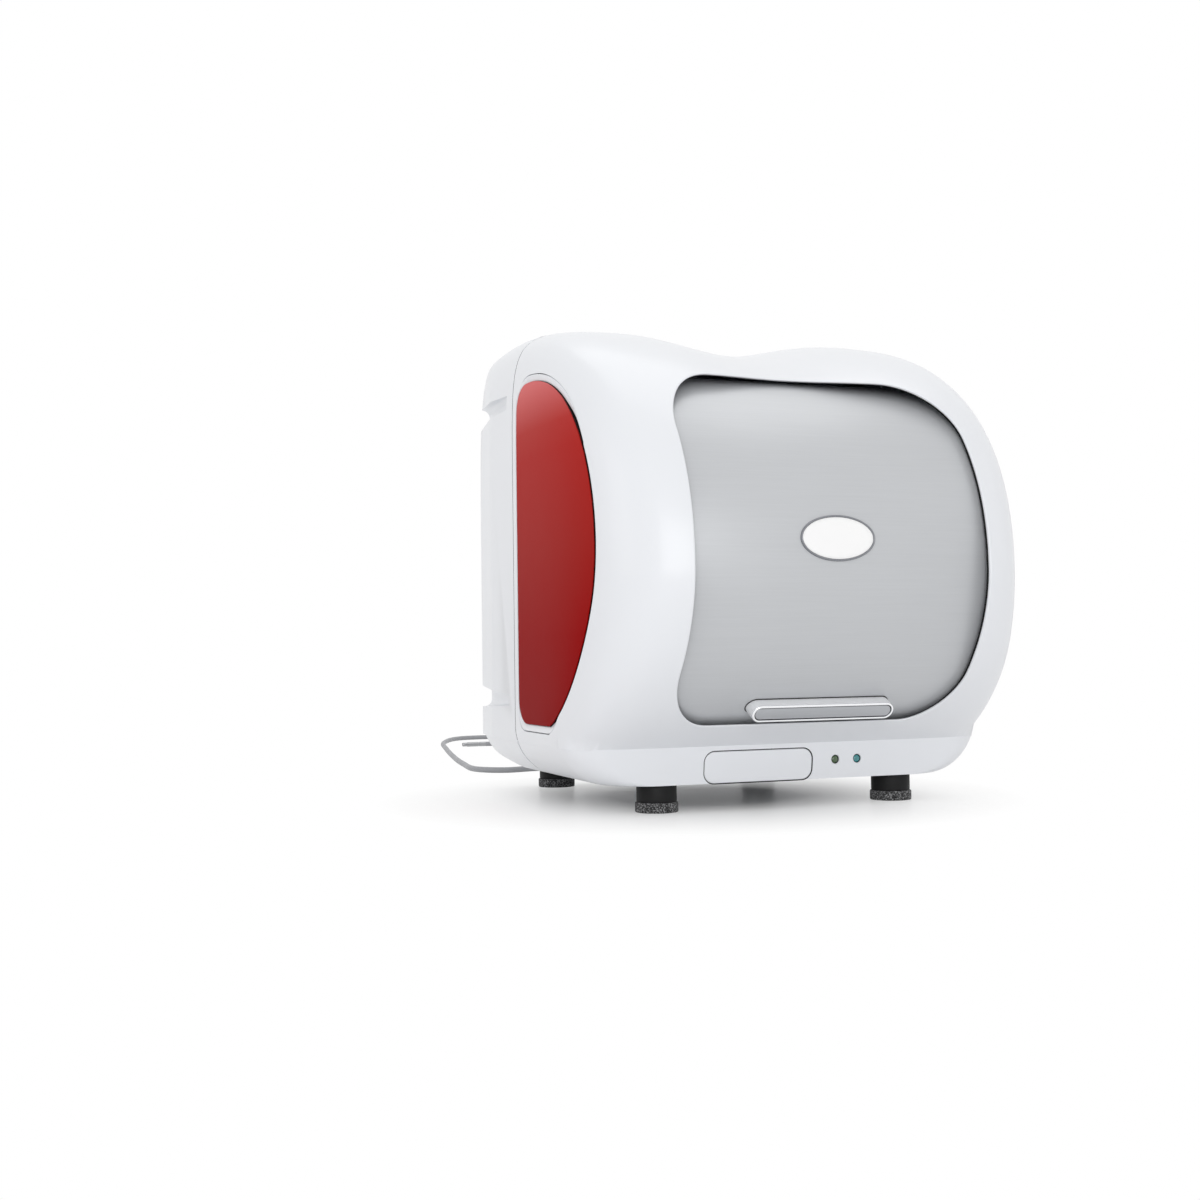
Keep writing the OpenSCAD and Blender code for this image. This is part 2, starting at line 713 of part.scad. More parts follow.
carriage_y = rod_y - 13;
carriage_low = rod_low - 13;
carriage_high = rod_high + 13;
rail_half = carriage_half - 3;
rail_y = carriage_y - 6;
module x_carriage() {
  color("dimgray") difference() {
    translate([-carriage_half, carriage_y, carriage_low])
      cube([2 * carriage_half, 26, carriage_high - carriage_low]);
    for (z = [rod_low, rod_high]) along_x(rod_y, z, -50, 50, rod_r + fit);
    along_x(rod_y, screw_z, -50, 50, screw_r + fit);
  }
}
module z_rail() {
  color("silver") translate([-rail_half, rail_y, 150]) cube([2 * rail_half, 6, 135]);
}
module z_motor() {
  color("dimgray") translate([-carriage_half, carriage_y, carriage_high]) {
    cube([2 * carriage_half, 26, 24]);
    translate([carriage_half, 13, 24]) cylinder(r = 8, h = 3, $fn = 32);
  }
}
head_low = 196;
arm_z = 216;
module head_slide() {
  color("silver") {
    translate([-carriage_half, rail_y - 12, head_low]) cube([2 * carriage_half, 12 - slip, 48]);
    for (x = [-carriage_half, rail_half + slip]) translate([x, rail_y - 1, head_low])
      cube([3 - slip, 6.5, 48]);
    translate([-10, -nest_y - 45, arm_z]) cube([20, rail_y - 11 + nest_y + 45, 14]);
  }
}
module fibre_manifold() {
  color("black") difference() {
    translate([-9, -nest_y - 42, arm_z - 16]) cube([18, 84, 16]);
    at_fibres() translate([0, 0, arm_z - 17]) cylinder(r = 1.5, h = 14, $fn = 24);
  }
}
module at_fibres() {
  for (i = [0 : fibre_count - 1]) translate([0, -nest_y + (i - (fibre_count - 1) / 2) * fibre_pitch, 0]) children();
}
module sensor_tips() {
  color("teal") at_fibres() {
    translate([0, 0, arm_z - 30]) cylinder(r = 3.4, h = 14, $fn = 32);
    translate([0, 0, arm_z - 44]) cylinder(r1 = 0.6, r2 = 2.4, h = 14, $fn = 32);
  }
}

nest_w = plate_w + 0.4;
nest_d = plate_d + 0.8;
nest_top = deck_z + nest_floor + 6;
module nest_block(x, low) {
  difference() {
    translate([x - 65.4, -nest_y - nest_d / 2 - 3, low]) cube([130.8, nest_d + 6, nest_top - low]);
    translate([x - nest_w / 2, -nest_y - nest_d / 2, deck_z + nest_floor]) cube([nest_w, nest_d, 20]);
    translate([x - 52, -nest_y - 34, low - 1]) cube([104, 68, 40]);
  }
}
module tray_nest() { color("dimgray") nest_block(-nest_x, deck_z); }
module stage_base() {
  color("silver") {
    translate([nest_x - 60, -nest_y - 40, deck_z]) cube([120, 80, 3]);
    for (s = [-1, 1]) translate([nest_x + s * 56 - 2, -nest_y - 40, deck_z]) cube([4, 80, 4.7]);
  }
}
module plate_stage() { color("dimgray") nest_block(nest_x, deck_z + 5); }
module stage_heater() {
  color("black") translate([nest_x - 51.7, -nest_y - 33.7, deck_z + 5]) cube([103.4, 67.4, nest_floor - 5.5]);
}

bulk_half = half_w - 28.5;
module bulkhead() {
  color("silver") translate([0, bulkhead_y + 2, 0]) rotate([90, 0, 0]) linear_extrude(2)
    polygon([[-bulk_half + 26, floor_z], [bulk_half - 26, floor_z], [bulk_half, floor_z + 50],
      [bulk_half, body_h - 90], [bulk_half - 40, body_h - 45], [40 - bulk_half, body_h - 45],
      [-bulk_half, body_h - 90], [-bulk_half, floor_z + 50]]);
}
board_y = bulkhead_y + 10;
module spectrometer() {
  color("black") translate([10, bulkhead_y + 2, 190]) {
    cube([130, 60, 110]);
    translate([65, 30, 110]) cylinder(r = 9, h = 14, $fn = 32);
    for (x = [12 : 14 : 118]) translate([x, 60, 10]) cube([3, 6, 90]);
  }
}
module main_board() {
  color("green") {
    translate([-150, board_y, 60]) cube([140, 1.6, 130]);
    for (x = [-142, -18], z = [68, 182]) translate([x, board_y, z]) rotate([90, 0, 0])
      cylinder(r = 3, h = board_y - bulkhead_y - 2, $fn = 24);
  }
}
module board_chips() {
  color("black") {
    for (i = [0 : 3]) translate([-140 + i * 30, board_y + 1.6, 80]) cube([18, 3, 18]);
    for (i = [0 : 4]) translate([-142 + i * 26, board_y + 1.6, 165]) cube([18, 9, 10]);
    translate([-100, board_y + 1.6, 118]) cube([34, 12, 34]);
  }
}
module power_supply() {
  color("silver") difference() {
    translate([0, bulkhead_y + 2, floor_z]) cube([130, 62, 75]);
    for (x = [12 : 10 : 112]) translate([x, bulkhead_y + 12, floor_z + 70]) cube([4, 42, 10]);
  }
}

panel_y0 = rear_reach - 8.5;
panel_t = 4;
panel_face = panel_y0 + panel_t;
switch_x = inlet_x + 46;
ports_x = inlet_x + 82;
screw_spots = [for (x = [-1, 0, 1], z = [back_low + 10, back_high - 10]) [x * (back_half - 10), z]];
module rear_panel() {
  color("gainsboro") front_prism(panel_y0, panel_face) difference() {
    translate([0, (back_low + back_high) / 2])
      round_rect(2 * (back_half - slip), back_high - back_low - 2 * slip, 12 - slip);
    translate([-fan_x, fan_z]) circle(fan_w / 2 - 4);
    translate([inlet_x - 15, port_z - 11]) square([30, 22]);
    translate([switch_x - 8, port_z - 12]) square([16, 24]);
    for (i = [0, 1]) translate([ports_x - 7, port_z - 8 + i * 24]) square([14, 12]);
    for (p = screw_spots) translate(p) circle(2, $fn = 24);
    for (i = [0 : 11]) translate([-130 + i * 9, 120]) square([4, 50]);
  }
}
module rear_panel_screws() {
  color("silver") for (p = screw_spots) translate([p[0], panel_face, p[1]]) rotate([-90, 0, 0]) {
    translate([0, 0, -7]) cylinder(r = 1.95, h = 8, $fn = 24);
    cylinder(r = 3.6, h = 2, $fn = 32);
  }
}
fan_front = panel_y0 - 25;
module fan_frame() {
  color("black") difference() {
    union() {
      difference() {
        translate([-fan_x - fan_w / 2, fan_front, fan_z - fan_w / 2]) cube([fan_w, 25, fan_w]);
        translate([-fan_x, panel_y0 + 1, fan_z]) rotate([90, 0, 0]) cylinder(r = fan_w / 2 - 3, h = 30);
      }
      for (a = [0, 90, 180, 270]) translate([-fan_x, fan_front + 3, fan_z]) rotate([90, a, 0])
        translate([0, -2, 0]) cube([fan_w / 2 - 1, 4, 3]);
      translate([-fan_x, fan_front + 3, fan_z]) rotate([90, 0, 0]) cylinder(r = 16, h = 3);
      translate([-fan_x, fan_front + 20, fan_z]) rotate([90, 0, 0]) cylinder(r = 3, h = 20);
    }
  }
}
module fan_rotor() {
  blade = fan_w / 2 - 5;
  color("black") translate([-fan_x, fan_front + 4, fan_z]) rotate([-90, 0, 0]) difference() {
    union() {
      cylinder(r = 16, h = 17);
      for (a = [0 : 51.43 : 359]) rotate(a) translate([14, 0, 8.5]) rotate([35, 0, 0])
        translate([0, -8, -1]) cube([blade - 14.5, 16, 2]);
    }
    translate([0, 0, -1]) cylinder(r = 3 + fit, h = 17.2);
  }
}
module fan_guard() {
  color("silver") translate([-fan_x, panel_face, fan_z]) rotate([-90, 0, 0]) {
    for (r = [10, 18, 26, 34]) difference() {
      cylinder(r = r + 0.8, h = 1.6);
      translate([0, 0, -1]) cylinder(r = r - 0.8, h = 4);
    }
    for (a = [45, 135]) rotate(a) translate([-fan_w / 2 - 1, -0.8, 0]) cube([fan_w + 2, 1.6, 1.6]);
  }
}
module power_inlet() {
  color("black") difference() {
    union() {
      translate([inlet_x - 14.7, panel_y0 - 16, port_z - 10.7]) cube([29.4, 21, 21.4]);
      translate([inlet_x - 17, panel_face, port_z - 13]) cube([34, 2, 26]);
    }
    translate([inlet_x - 12.5, panel_y0 - 12, port_z - 8.5]) cube([25, 30, 17]);
  }
}
module switch_bezel() {
  color("black") difference() {
    union() {
      translate([switch_x - 7.7, panel_y0 - 8, port_z - 11.7]) cube([15.4, 13, 23.4]);
      translate([switch_x - 10, panel_face, port_z - 14]) cube([20, 1.5, 28]);
    }
    translate([switch_x - 6, panel_y0 - 4, port_z - 10]) cube([12, 30, 20]);
    along_x(rocker_y, port_z, switch_x - 7, switch_x + 7, 1.5 + fit, 32);
  }
}
rocker_y = panel_face - 2;
module power_rocker() {
  color("dimgray") {
    intersection() {
      translate([switch_x - 5.7, 0, 0]) rotate([90, 0, 90]) linear_extrude(11.4) translate([rocker_y, port_z]) {
        polygon([[-2, -3], [1.4, -8.6], [3.6, -8.6], [2.2, 0], [3.6, 8.6], [1.4, 8.6], [-2, 3]]);
      }
      translate([switch_x - 10, 0, port_z - 20]) cube([20, 400, 40]);
    }
    along_x(rocker_y, port_z, switch_x - 6.8, switch_x + 6.8, 1.5, 32);
  }
}
module data_ports() {
  color("silver") for (i = [0, 1]) translate([ports_x - 6.7, 0, port_z - 7.7 + i * 24]) difference() {
    translate([0, panel_y0 - 14, 0]) cube([13.4, 14 + panel_t + 1, 11.4]);
    translate([1.5, panel_y0 - 8, 1.5]) cube([10.4, 30, 8.4]);
  }
}

plug_back = panel_face + 34;
module cord_plug() {
  color("dimgray") {
    translate([inlet_x - 12.2, panel_y0 - 11.5, port_z - 8.2]) cube([24.4, plug_back - panel_y0 - 3, 16.4]);
    translate([inlet_x, plug_back - 14.5, port_z]) rotate([-90, 0, 0])
      cylinder(r1 = 8, r2 = cord_d / 2 + 1, h = 14.5 + 20);
  }
}

// Where the cord runs: from the plug down to the table, out to the left, back and round
table_z = cord_d / 2;
route = [[inlet_x, plug_back + 20, port_z], [inlet_x, plug_back + 45, port_z - 6], [46, 345, 40],
  [20, 390, 12], [-20, 410, table_z], [-77, 412, table_z], [-122, 404, table_z], [-150, 440, table_z],
  [-142, 525, table_z], [-124, 641, table_z], [-87, 837, table_z], [-50, 1000, table_z],
  [10, 1110, table_z], [110, 1090, table_z], [140, 980, table_z], [70, 930, table_z], [0, 930, table_z]];
function spline(a, b, c, d, t) = 0.5 * (2 * b + (c - a) * t + (2 * a - 5 * b + 4 * c - d) * t * t
  + (3 * b - a - 3 * c + d) * t * t * t);
function at_route(u) = let(n = len(route) - 1, i = min(n - 1, floor(u)), p = route)
  spline(i > 0 ? p[i - 1] : 2 * p[0] - p[1], p[i], p[i + 1], i < n - 1 ? p[i + 2] : 2 * p[n] - p[n - 1], u - i);
rings = 78;
function heading(u) = let(d = at_route(min(len(route) - 1, u + 0.02)) - at_route(max(0, u - 0.02))) d / norm(d);
module cord() {
  color("gray") loft([for (i = [0 : rings]) let(u = (len(route) - 1) * i / rings, q = at_route(u),
      p = [q[0], q[1], max(table_z, q[2])],
      d = i == 0 ? [0, 1, 0] : i == rings ? [-1, 0, 0] : heading(u),
      side = cross(d, [0, 0, 1]) / norm(cross(d, [0, 0, 1])),
      up = cross(side, d))
    [for (k = [0 : 9]) p + cord_d / 2 * (cos(36 * k) * up + sin(36 * k) * side)]]);
}
module cord_connector() {
  last = route[len(route) - 1];
  color("dimgray") translate(last) rotate([0, -90, 0]) {
    cylinder(r1 = cord_d / 2, r2 = cord_d / 2, h = 10);
    translate([0, 0, 10]) cylinder(r = cord_d / 2, h = 28);
  }
}

front_shell();
rear_shell();
left_side_panel();
right_side_panel();
base_plate();
rubber_feet();
felt_pads();
foot_screws();
hinge_brackets();
hinge_pins();
door_panel();
door_arms();
door_handle();
handle_face();
badge_rim();
badge_face();
left_lamp();
right_lamp();
waste_drawer_front();
waste_drawer_tray();
drawer_guides();
deck_frame();
deck_plate();
chamber_liner();
gantry_plates();
guide_rods();
lead_screw();
drive_motor();
x_carriage();
z_rail();
z_motor();
head_slide();
fibre_manifold();
sensor_tips();
tray_nest();
stage_base();
plate_stage();
stage_heater();
bulkhead();
spectrometer();
main_board();
board_chips();
power_supply();
rear_panel();
rear_panel_screws();
fan_frame();
fan_rotor();
fan_guard();
power_inlet();
switch_bezel();
power_rocker();
data_ports();
cord_plug();
cord();
cord_connector();
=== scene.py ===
import bpy, bmesh, json, math
import numpy as np
from mathutils import Vector, Matrix
from mathutils.bvhtree import BVHTree


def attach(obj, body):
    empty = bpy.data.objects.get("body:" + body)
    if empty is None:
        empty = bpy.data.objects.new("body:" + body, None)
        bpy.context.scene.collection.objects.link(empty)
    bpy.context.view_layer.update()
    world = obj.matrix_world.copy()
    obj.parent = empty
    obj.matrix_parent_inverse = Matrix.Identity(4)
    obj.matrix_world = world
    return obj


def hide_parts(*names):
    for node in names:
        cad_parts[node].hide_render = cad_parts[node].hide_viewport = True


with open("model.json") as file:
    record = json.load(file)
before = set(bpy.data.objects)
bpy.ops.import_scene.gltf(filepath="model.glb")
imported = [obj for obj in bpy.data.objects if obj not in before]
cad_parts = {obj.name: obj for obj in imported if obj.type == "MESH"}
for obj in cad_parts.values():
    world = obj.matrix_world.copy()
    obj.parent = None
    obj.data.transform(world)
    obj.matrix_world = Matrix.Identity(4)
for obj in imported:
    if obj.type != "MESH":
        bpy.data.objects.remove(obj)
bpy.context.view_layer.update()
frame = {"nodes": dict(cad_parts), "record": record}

S = 0.001
NODE = frame["nodes"]

# ------------------------------------------------------------------ camera
CAMERA_AT, CAMERA_TURN, CAMERA_LENS = (-0.6235, -1.3126, 0.1431), (20.11, 2.15, -0.80), 43.575

def look_matrix():
    """The camera's place and its turn, given as yaw, pitch and roll in degrees."""
    yaw, pitch, roll = (math.radians(v) for v in CAMERA_TURN)
    f = Vector((math.sin(yaw) * math.cos(pitch), math.cos(yaw) * math.cos(pitch), math.sin(pitch)))
    r0 = Vector((math.cos(yaw), -math.sin(yaw), 0))
    u0 = r0.cross(f)
    r = math.cos(roll) * r0 + math.sin(roll) * u0
    u = r.cross(f)
    m = Matrix((r, u, -f)).transposed().to_4x4()
    m.translation = Vector(CAMERA_AT)
    return m

cam_data = bpy.data.cameras.new("camera")
cam_data.sensor_fit = 'HORIZONTAL'
cam_data.sensor_width = 36
cam_data.lens = CAMERA_LENS
cam_data.clip_end = 50
cam = bpy.data.objects.new("camera", cam_data)
bpy.context.scene.collection.objects.link(cam)
cam.matrix_world = look_matrix()
bpy.context.scene.camera = cam

# --------------------------------------------------------------- materials
def any_ray(tree):
    """1 for the rays that should see plain white: camera, glossy and transmission rays."""
    path = tree.nodes.new('ShaderNodeLightPath')
    out = path.outputs['Is Camera Ray']
    for ray in ('Is Glossy Ray', 'Is Transmission Ray'):
        most = tree.nodes.new('ShaderNodeMath')
        most.operation = 'MAXIMUM'
        tree.links.new(out, most.inputs[0])
        tree.links.new(path.outputs[ray], most.inputs[1])
        out = most.outputs[0]
    return out

class Mat:
    """A procedural material under construction: a principled shader and the textures that feed it."""
    def __init__(self, name):
        self.m = bpy.data.materials.new(name)
        self.m.use_nodes = True
        self.t = self.m.node_tree
        self.t.nodes.clear()
        self.out = self.add('ShaderNodeOutputMaterial')
        self.b = self.add('ShaderNodeBsdfPrincipled')
        self.link(self.b.outputs[0], self.out.inputs['Surface'])
        self.co = self.add('ShaderNodeTexCoord').outputs['Object']
    def add(self, kind):
        return self.t.nodes.new(kind)
    def link(self, a, b):
        self.t.links.new(a, b)
    def set(self, **k):
        for key, v in k.items():
            self.b.inputs[key.replace('_', ' ')].default_value = v
        return self
    def scaled(self, scale):
        mp = self.add('ShaderNodeMapping')
        mp.inputs['Scale'].default_value = scale
        self.link(self.co, mp.inputs['Vector'])
        return mp.outputs[0]
    def noise(self, scale, detail=3, rough=0.5, stretch=(1, 1, 1)):
        n = self.add('ShaderNodeTexNoise')
        n.inputs['Scale'].default_value = scale
        n.inputs['Detail'].default_value = detail
        n.inputs['Roughness'].default_value = rough
        self.link(self.scaled(stretch), n.inputs['Vector'])
        return n.outputs[0]
    def ramp(self, fac, stops):
        r = self.add('ShaderNodeValToRGB')
        e = r.color_ramp.elements
        while len(e) < len(stops):
            e.new(0.5)
        for el, (p, c) in zip(e, stops):
            el.position = p
            el.color = (*c, 1)
        self.link(fac, r.inputs[0])
        return r.outputs[0]
    def span(self, fac, lo, hi, a=0.3, b=0.7):
        """Maps a to b onto lo to hi."""
        r = self.add('ShaderNodeMapRange')
        for i, v in zip((1, 2, 3, 4), (a, b, lo, hi)):
            r.inputs[i].default_value = v
        self.link(fac, r.inputs[0])
        return r.outputs[0]
    def mix(self, fac, a, b, mode='MIX'):
        m = self.add('ShaderNodeMix')
        m.data_type = 'RGBA'
        m.blend_type = mode
        m.inputs[0].default_value = fac
        self.link(a, m.inputs[6])
        self.link(b, m.inputs[7])
        return m.outputs[2]
    def colour(self, out):
        self.link(out, self.b.inputs['Base Color'])
        return self
    def rough(self, out):
        self.link(out, self.b.inputs['Roughness'])
        return self
    def bump(self, height, strength, dist):
        b = self.add('ShaderNodeBump')
        b.inputs['Strength'].default_value = strength
        b.inputs['Distance'].default_value = dist
        self.link(height, b.inputs['Height'])
        self.link(b.outputs[0], self.b.inputs['Normal'])
        return self

def lin(*rgb):
    """A display colour, 0 to 255, as linear light."""
    return tuple((v / 255 / 12.92) if v / 255 <= 0.04045 else ((v / 255 + 0.055) / 1.055) ** 2.4 for v in rgb)

def times(c, k):
    """A linear colour made k times as light."""
    return tuple(min(1, v * k) for v in c)

def tones(m, rgb, spread=0.06, scale=9.0):
    """Slow and fine changes of tone round one colour."""
    base = lin(*rgb)
    slow = m.ramp(m.noise(scale, 2), [(0.0, times(base, 1 - spread)), (1.0, times(base, 1 + spread))])
    fine = m.ramp(m.noise(900, 2), [(0.0, times(base, 0.98)), (1.0, base)])
    return m.mix(0.5, slow, fine)

def plastic(name, rgb, rough=0.3, spread=0.03, grain=0.04, scale=1400, coat=0.0, shine=0.5):
    m = Mat(name)
    m.colour(tones(m, rgb, spread))
    m.rough(m.span(m.noise(30, 4), rough * 0.88, rough * 1.12))
    m.bump(m.noise(scale, 2), grain, 0.0002)
    m.set(Specular_IOR_Level=shine, Coat_Weight=coat, Coat_Roughness=0.12)
    return m.m

def metal(name, rgb, rough=0.3, spread=0.05, stretch=(1, 1, 1), scale=400, grain=0.1, metallic=1.0):
    m = Mat(name)
    base = lin(*rgb)
    lines = m.noise(scale, 4, 0.6, stretch)
    m.colour(m.ramp(lines, [(0.25, times(base, 1 - spread)), (0.75, base)]))
    m.rough(m.span(lines, rough * 0.85, rough * 1.2))
    m.bump(lines, grain, 0.0001)
    m.set(Metallic=metallic)
    return m.m

def shell_material():
    m = Mat("pearl_housing")
    m.colour(tones(m, (236, 238, 242), 0.004, 3))
    m.rough(m.span(m.noise(6, 1), 0.33, 0.35, 0.0, 1.0))
    m.bump(m.noise(900, 2), 0.012, 0.0002)
    m.set(Specular_IOR_Level=0.45, Coat_Weight=0.25, Coat_Roughness=0.16)
    return m.m

# painted light: the heights in metres over which the red is painted lighter and pinker upwards, as light and
# its reflection from above fall on it; the tones below go from low to high
RED_PAINTED_LIGHT_FROM, RED_PAINTED_LIGHT_TO = 0.08, 0.40
RED_PAINTED_LIGHT_TONES = [(0.0, lin(142, 6, 7)), (0.25, lin(153, 9, 9)), (0.5, lin(166, 36, 32)), (0.78, lin(181, 43, 39)),
             (0.86, lin(187, 56, 52)), (0.92, lin(203, 88, 86)), (1.0, lin(225, 118, 118))]

def red_material():
    """Metallic red with painted light and a painted reflection from above: lighter and pinker with the
    height, between the two heights set above, in metres.
    """
    m = Mat("red_panel")
    flakes = m.add('ShaderNodeTexVoronoi')
    flakes.inputs['Scale'].default_value = 2600
    m.link(m.co, flakes.inputs['Vector'])
    slow = m.ramp(m.noise(5, 2), [(0.0, (0.95,) * 3), (1.0, (1.0,) * 3)])
    grain = m.mix(0.3, slow, m.ramp(flakes.outputs[0], [(0.0, (1.0,) * 3), (0.5, (0.9,) * 3)]))
    height = m.add('ShaderNodeSeparateXYZ')
    m.link(m.co, height.inputs[0])
    # painted light and painted reflection: the red's tone rises with the height
    painted_light = m.ramp(m.span(height.outputs['Z'], 0.0, 1.0, RED_PAINTED_LIGHT_FROM, RED_PAINTED_LIGHT_TO), RED_PAINTED_LIGHT_TONES)
    m.colour(m.mix(1.0, painted_light, grain, 'MULTIPLY'))
    m.rough(m.span(m.noise(60, 3), 0.36, 0.42, 0.0, 1.0))
    m.bump(flakes.outputs[0], 0.02, 0.0002)
    m.set(Metallic=0.0, Specular_IOR_Level=0.016)
    return m.m

def door_material():
    m = Mat("silver_door")
    base = lin(197, 199, 202)
    flakes = m.noise(2600, 2)
    lines = m.noise(700, 3, 0.6, (0.02, 1, 1))
    fine = m.ramp(lines, [(0.3, times(base, 0.96)), (0.7, times(base, 1.03))])
    slow = m.ramp(m.noise(14, 4), [(0.0, times(base, 0.96)), (1.0, times(base, 1.02))])
    m.colour(m.mix(0.5, fine, slow))
    m.rough(m.span(m.noise(25, 3), 0.36, 0.42, 0.0, 1.0))
    m.bump(flakes, 0.02, 0.0002)
    m.set(Metallic=0.25, Specular_IOR_Level=0.5)
    return m.m

def felt_material():
    m = Mat("felt")
    specks = m.add('ShaderNodeTexVoronoi')
    specks.inputs['Scale'].default_value = 900
    m.link(m.co, specks.inputs['Vector'])
    fibre = m.noise(760, 5, 0.65)
    wool = m.ramp(fibre, [(0.38, lin(24, 24, 25)), (0.5, lin(62, 62, 63)), (0.64, lin(188, 188, 189))])
    m.colour(m.mix(0.2, wool, m.ramp(specks.outputs[0], [(0.1, lin(170, 170, 172)), (0.5, lin(40, 40, 41))])))
    m.rough(m.span(fibre, 0.85, 1.0))
    m.bump(fibre, 0.9, 0.0012)
    m.set(Sheen_Weight=0.15, Specular_IOR_Level=0.15)
    return m.m

def lens_material(name, rgb, glow):
    m = Mat(name)
    base = lin(*rgb)
    m.colour(m.ramp(m.noise(500, 2), [(0.3, times(base, 0.8)), (0.7, base)]))
    m.rough(m.span(m.noise(200, 2), 0.06, 0.12))
    m.bump(m.noise(300, 1), 0.03, 0.0003)
    m.set(Coat_Weight=1.0, Coat_Roughness=0.03, Emission_Color=(*base, 1), Emission_Strength=glow)
    return m.m

def board_material():
    m = Mat("circuit_board")
    br = m.add('ShaderNodeTexBrick')
    br.inputs['Scale'].default_value = 90
    br.inputs['Color1'].default_value = (*lin(22, 84, 48), 1)
    br.inputs['Color2'].default_value = (*lin(16, 70, 40), 1)
    br.inputs['Mortar'].default_value = (*lin(52, 120, 72), 1)
    br.inputs['Mortar Size'].default_value = 0.03
    m.link(m.scaled((1, 1, 1)), br.inputs['Vector'])
    m.colour(br.outputs[0])
    m.rough(m.span(m.noise(300, 2), 0.35, 0.5))
    m.bump(m.noise(900, 2), 0.05, 0.0002)
    return m.m

M = {
    "shell": shell_material(),
    "red": red_material(),
    "silver_door": door_material(),
    "felt": felt_material(),
    "white_plastic": plastic("white_plastic", (232, 233, 233), 0.42, 0.02, 0.08),
    "badge": plastic("badge_white", (253, 253, 253), 0.25, 0.01, 0.02, 900, 0.4),
    "badge_rim": metal("badge_rim_grey", (138, 140, 145), 0.3, 0.05, (1, 1, 1), 500, 0.05, 0.6),
    "sheet": metal("sheet_metal", (190, 192, 195), 0.36, 0.06, (1, 1, 1), 700, 0.06),
    "steel": metal("turned_steel", (165, 166, 168), 0.3, 0.1, (6, 1, 1), 500, 0.1),
    "chrome": metal("polished_rim", (248, 249, 251), 0.08, 0.03, (1, 1, 1), 300, 0.03),
    "bar": metal("brushed_bar", (246, 247, 249), 0.4, 0.08, (0.03, 1, 1), 1500, 0.12, 0.15),
    "brushed": metal("brushed_face", (184, 186, 190), 0.34, 0.12, (0.03, 1, 1), 1800, 0.22),
    "rubber": plastic("rubber", (22, 22, 23), 0.55, 0.2, 0.25, 900, shine=0.22),
    "black_plastic": plastic("black_plastic", (16, 16, 18), 0.5, 0.15, 0.15, 1200, shine=0.2),
    "grey_plastic": plastic("grey_plastic", (112, 114, 116), 0.45, 0.05, 0.15, 1100),
    "cord_grey": plastic("cord_jacket", (158, 159, 163), 0.46, 0.05, 0.12, 800),
    "lens_green": lens_material("lens_green", (54, 84, 40), 0.05),
    "lens_teal": lens_material("lens_teal", (38, 128, 132), 0.12),
    "board": board_material(),
    "tip": plastic("tip_clear", (150, 190, 190), 0.15, 0.05, 0.02, 900, 0.5),
}

def paint(obj, mat):
    obj.data.materials.clear()
    obj.data.materials.append(mat)

for subpart in frame["record"]["subparts"]:
    o, mat = NODE[subpart["node"]], M[subpart["material_slot"]]
    if not o.material_slots:
        o.data.materials.append(mat)
    for place in o.material_slots:
        place.link = 'OBJECT'
        place.material = mat

# ------------------------------- numbers in mm, as in the solids where not said otherwise
W, WALL = 214.5, 3.5                    # half width and wall
FRONT, REAR, CROWN = 232.4, 227.5, 127.0  # reach to the front and the rear, y of the crown
TOP, SADDLE, SADDLE_W = 470.0, 17.0, 122.0  # height, depth and half width of the dip in the crown
BELLY, DROP = 214.0, 221.0              # height of the widest part, fall of the lower curve from there
CREASE, UNDER = 59.0, 25.0              # heights of the crease over the skirt and of the underside
EDGE_TOP, EDGE_LOW, EDGE_FRONT = 10.0, 20.0, 6.1  # how square the sides are: larger is squarer
CURVE_TOP, CURVE_LOW, CURVE_BACK = 2.11, 1.83, 4.5  # the same for the profile
BACK_SIDE, REAR_ROUND, CORNER = 14.5, 8.0, 50.0  # how far the back draws in, its edge and the lower corners
REAR_HALF = W - BACK_SIDE
LEAN, BACK_LEAN, SKIRT_R, SKIRT_BACK_R = 4.0, 4.0, 34, 9
PART, PART_GAP = 50.0, 1.3              # parting plane; its gap is shown wider than in the solids
HINGE_Y, HINGE_Z, DOOR_R, DOOR_T, DOOR_RISE = -48.0, 228.0, 170.0, 4.0, 4.5
DOOR_HALF, DOOR_FROM, DOOR_TO = 146.0, -62, 85.8  # half width, and the angles of its two edges
OPEN_HALF, OPEN_LOW, OPEN_TOP, OPEN_R_TOP, OPEN_R_LOW = 142, 79.5, 392, 58, 46
OPEN_RISE = 1.8                         # rise of its top edge in the middle, not in the solids
PANEL_R, PANEL_Y, PANEL_Z, PANEL_BACK, PANEL_LOW, PANEL_CORNER = 169.5, 12.0, 234.5, 38.0, 78.0, 24.0
DRAWER_X, DRAWER_W, DRAWER_LOW, DRAWER_TOP, DRAWER_R = -31.0, 109.0, 25.0, 54.0, 10.0
HANDLE_W, HANDLE_H, HANDLE_OUT, HANDLE_X, HANDLE_ANGLE, HANDLE_TILT = 141.0, 16.6, 15.0, 6.0, 51.0, 29.0
BADGE_W, BADGE_H, BADGE_X, BADGE_ANGLE = 72, 40, -5, 4
LAMP_Z, LAMP_HOLE = 42.5, 4.6
LAMPS = [(48.0, "left_lamp", "lens_green"), (71.0, "right_lamp", "lens_teal")]
CORD_R = 3.5
R_DOOR, R_FRONT, R_REAR, R_RED = 2.2, 1.0, 0.5, 0.6  # rounded edges, not in the solids

def keep(x, h, m):
    """How much of its size a slice keeps at x, for a half width h and an exponent m."""
    return np.maximum(0.0001, 1 - np.minimum(1, np.abs(x) / h) ** m) ** (1 / m)

def crown(x):
    """Height of the crown line at x, with its dip in the middle."""
    a = np.abs(x)
    return TOP - np.where(a < SADDLE_W, SADDLE * np.cos(np.pi / 2 * a / SADDLE_W) ** 2, 0)

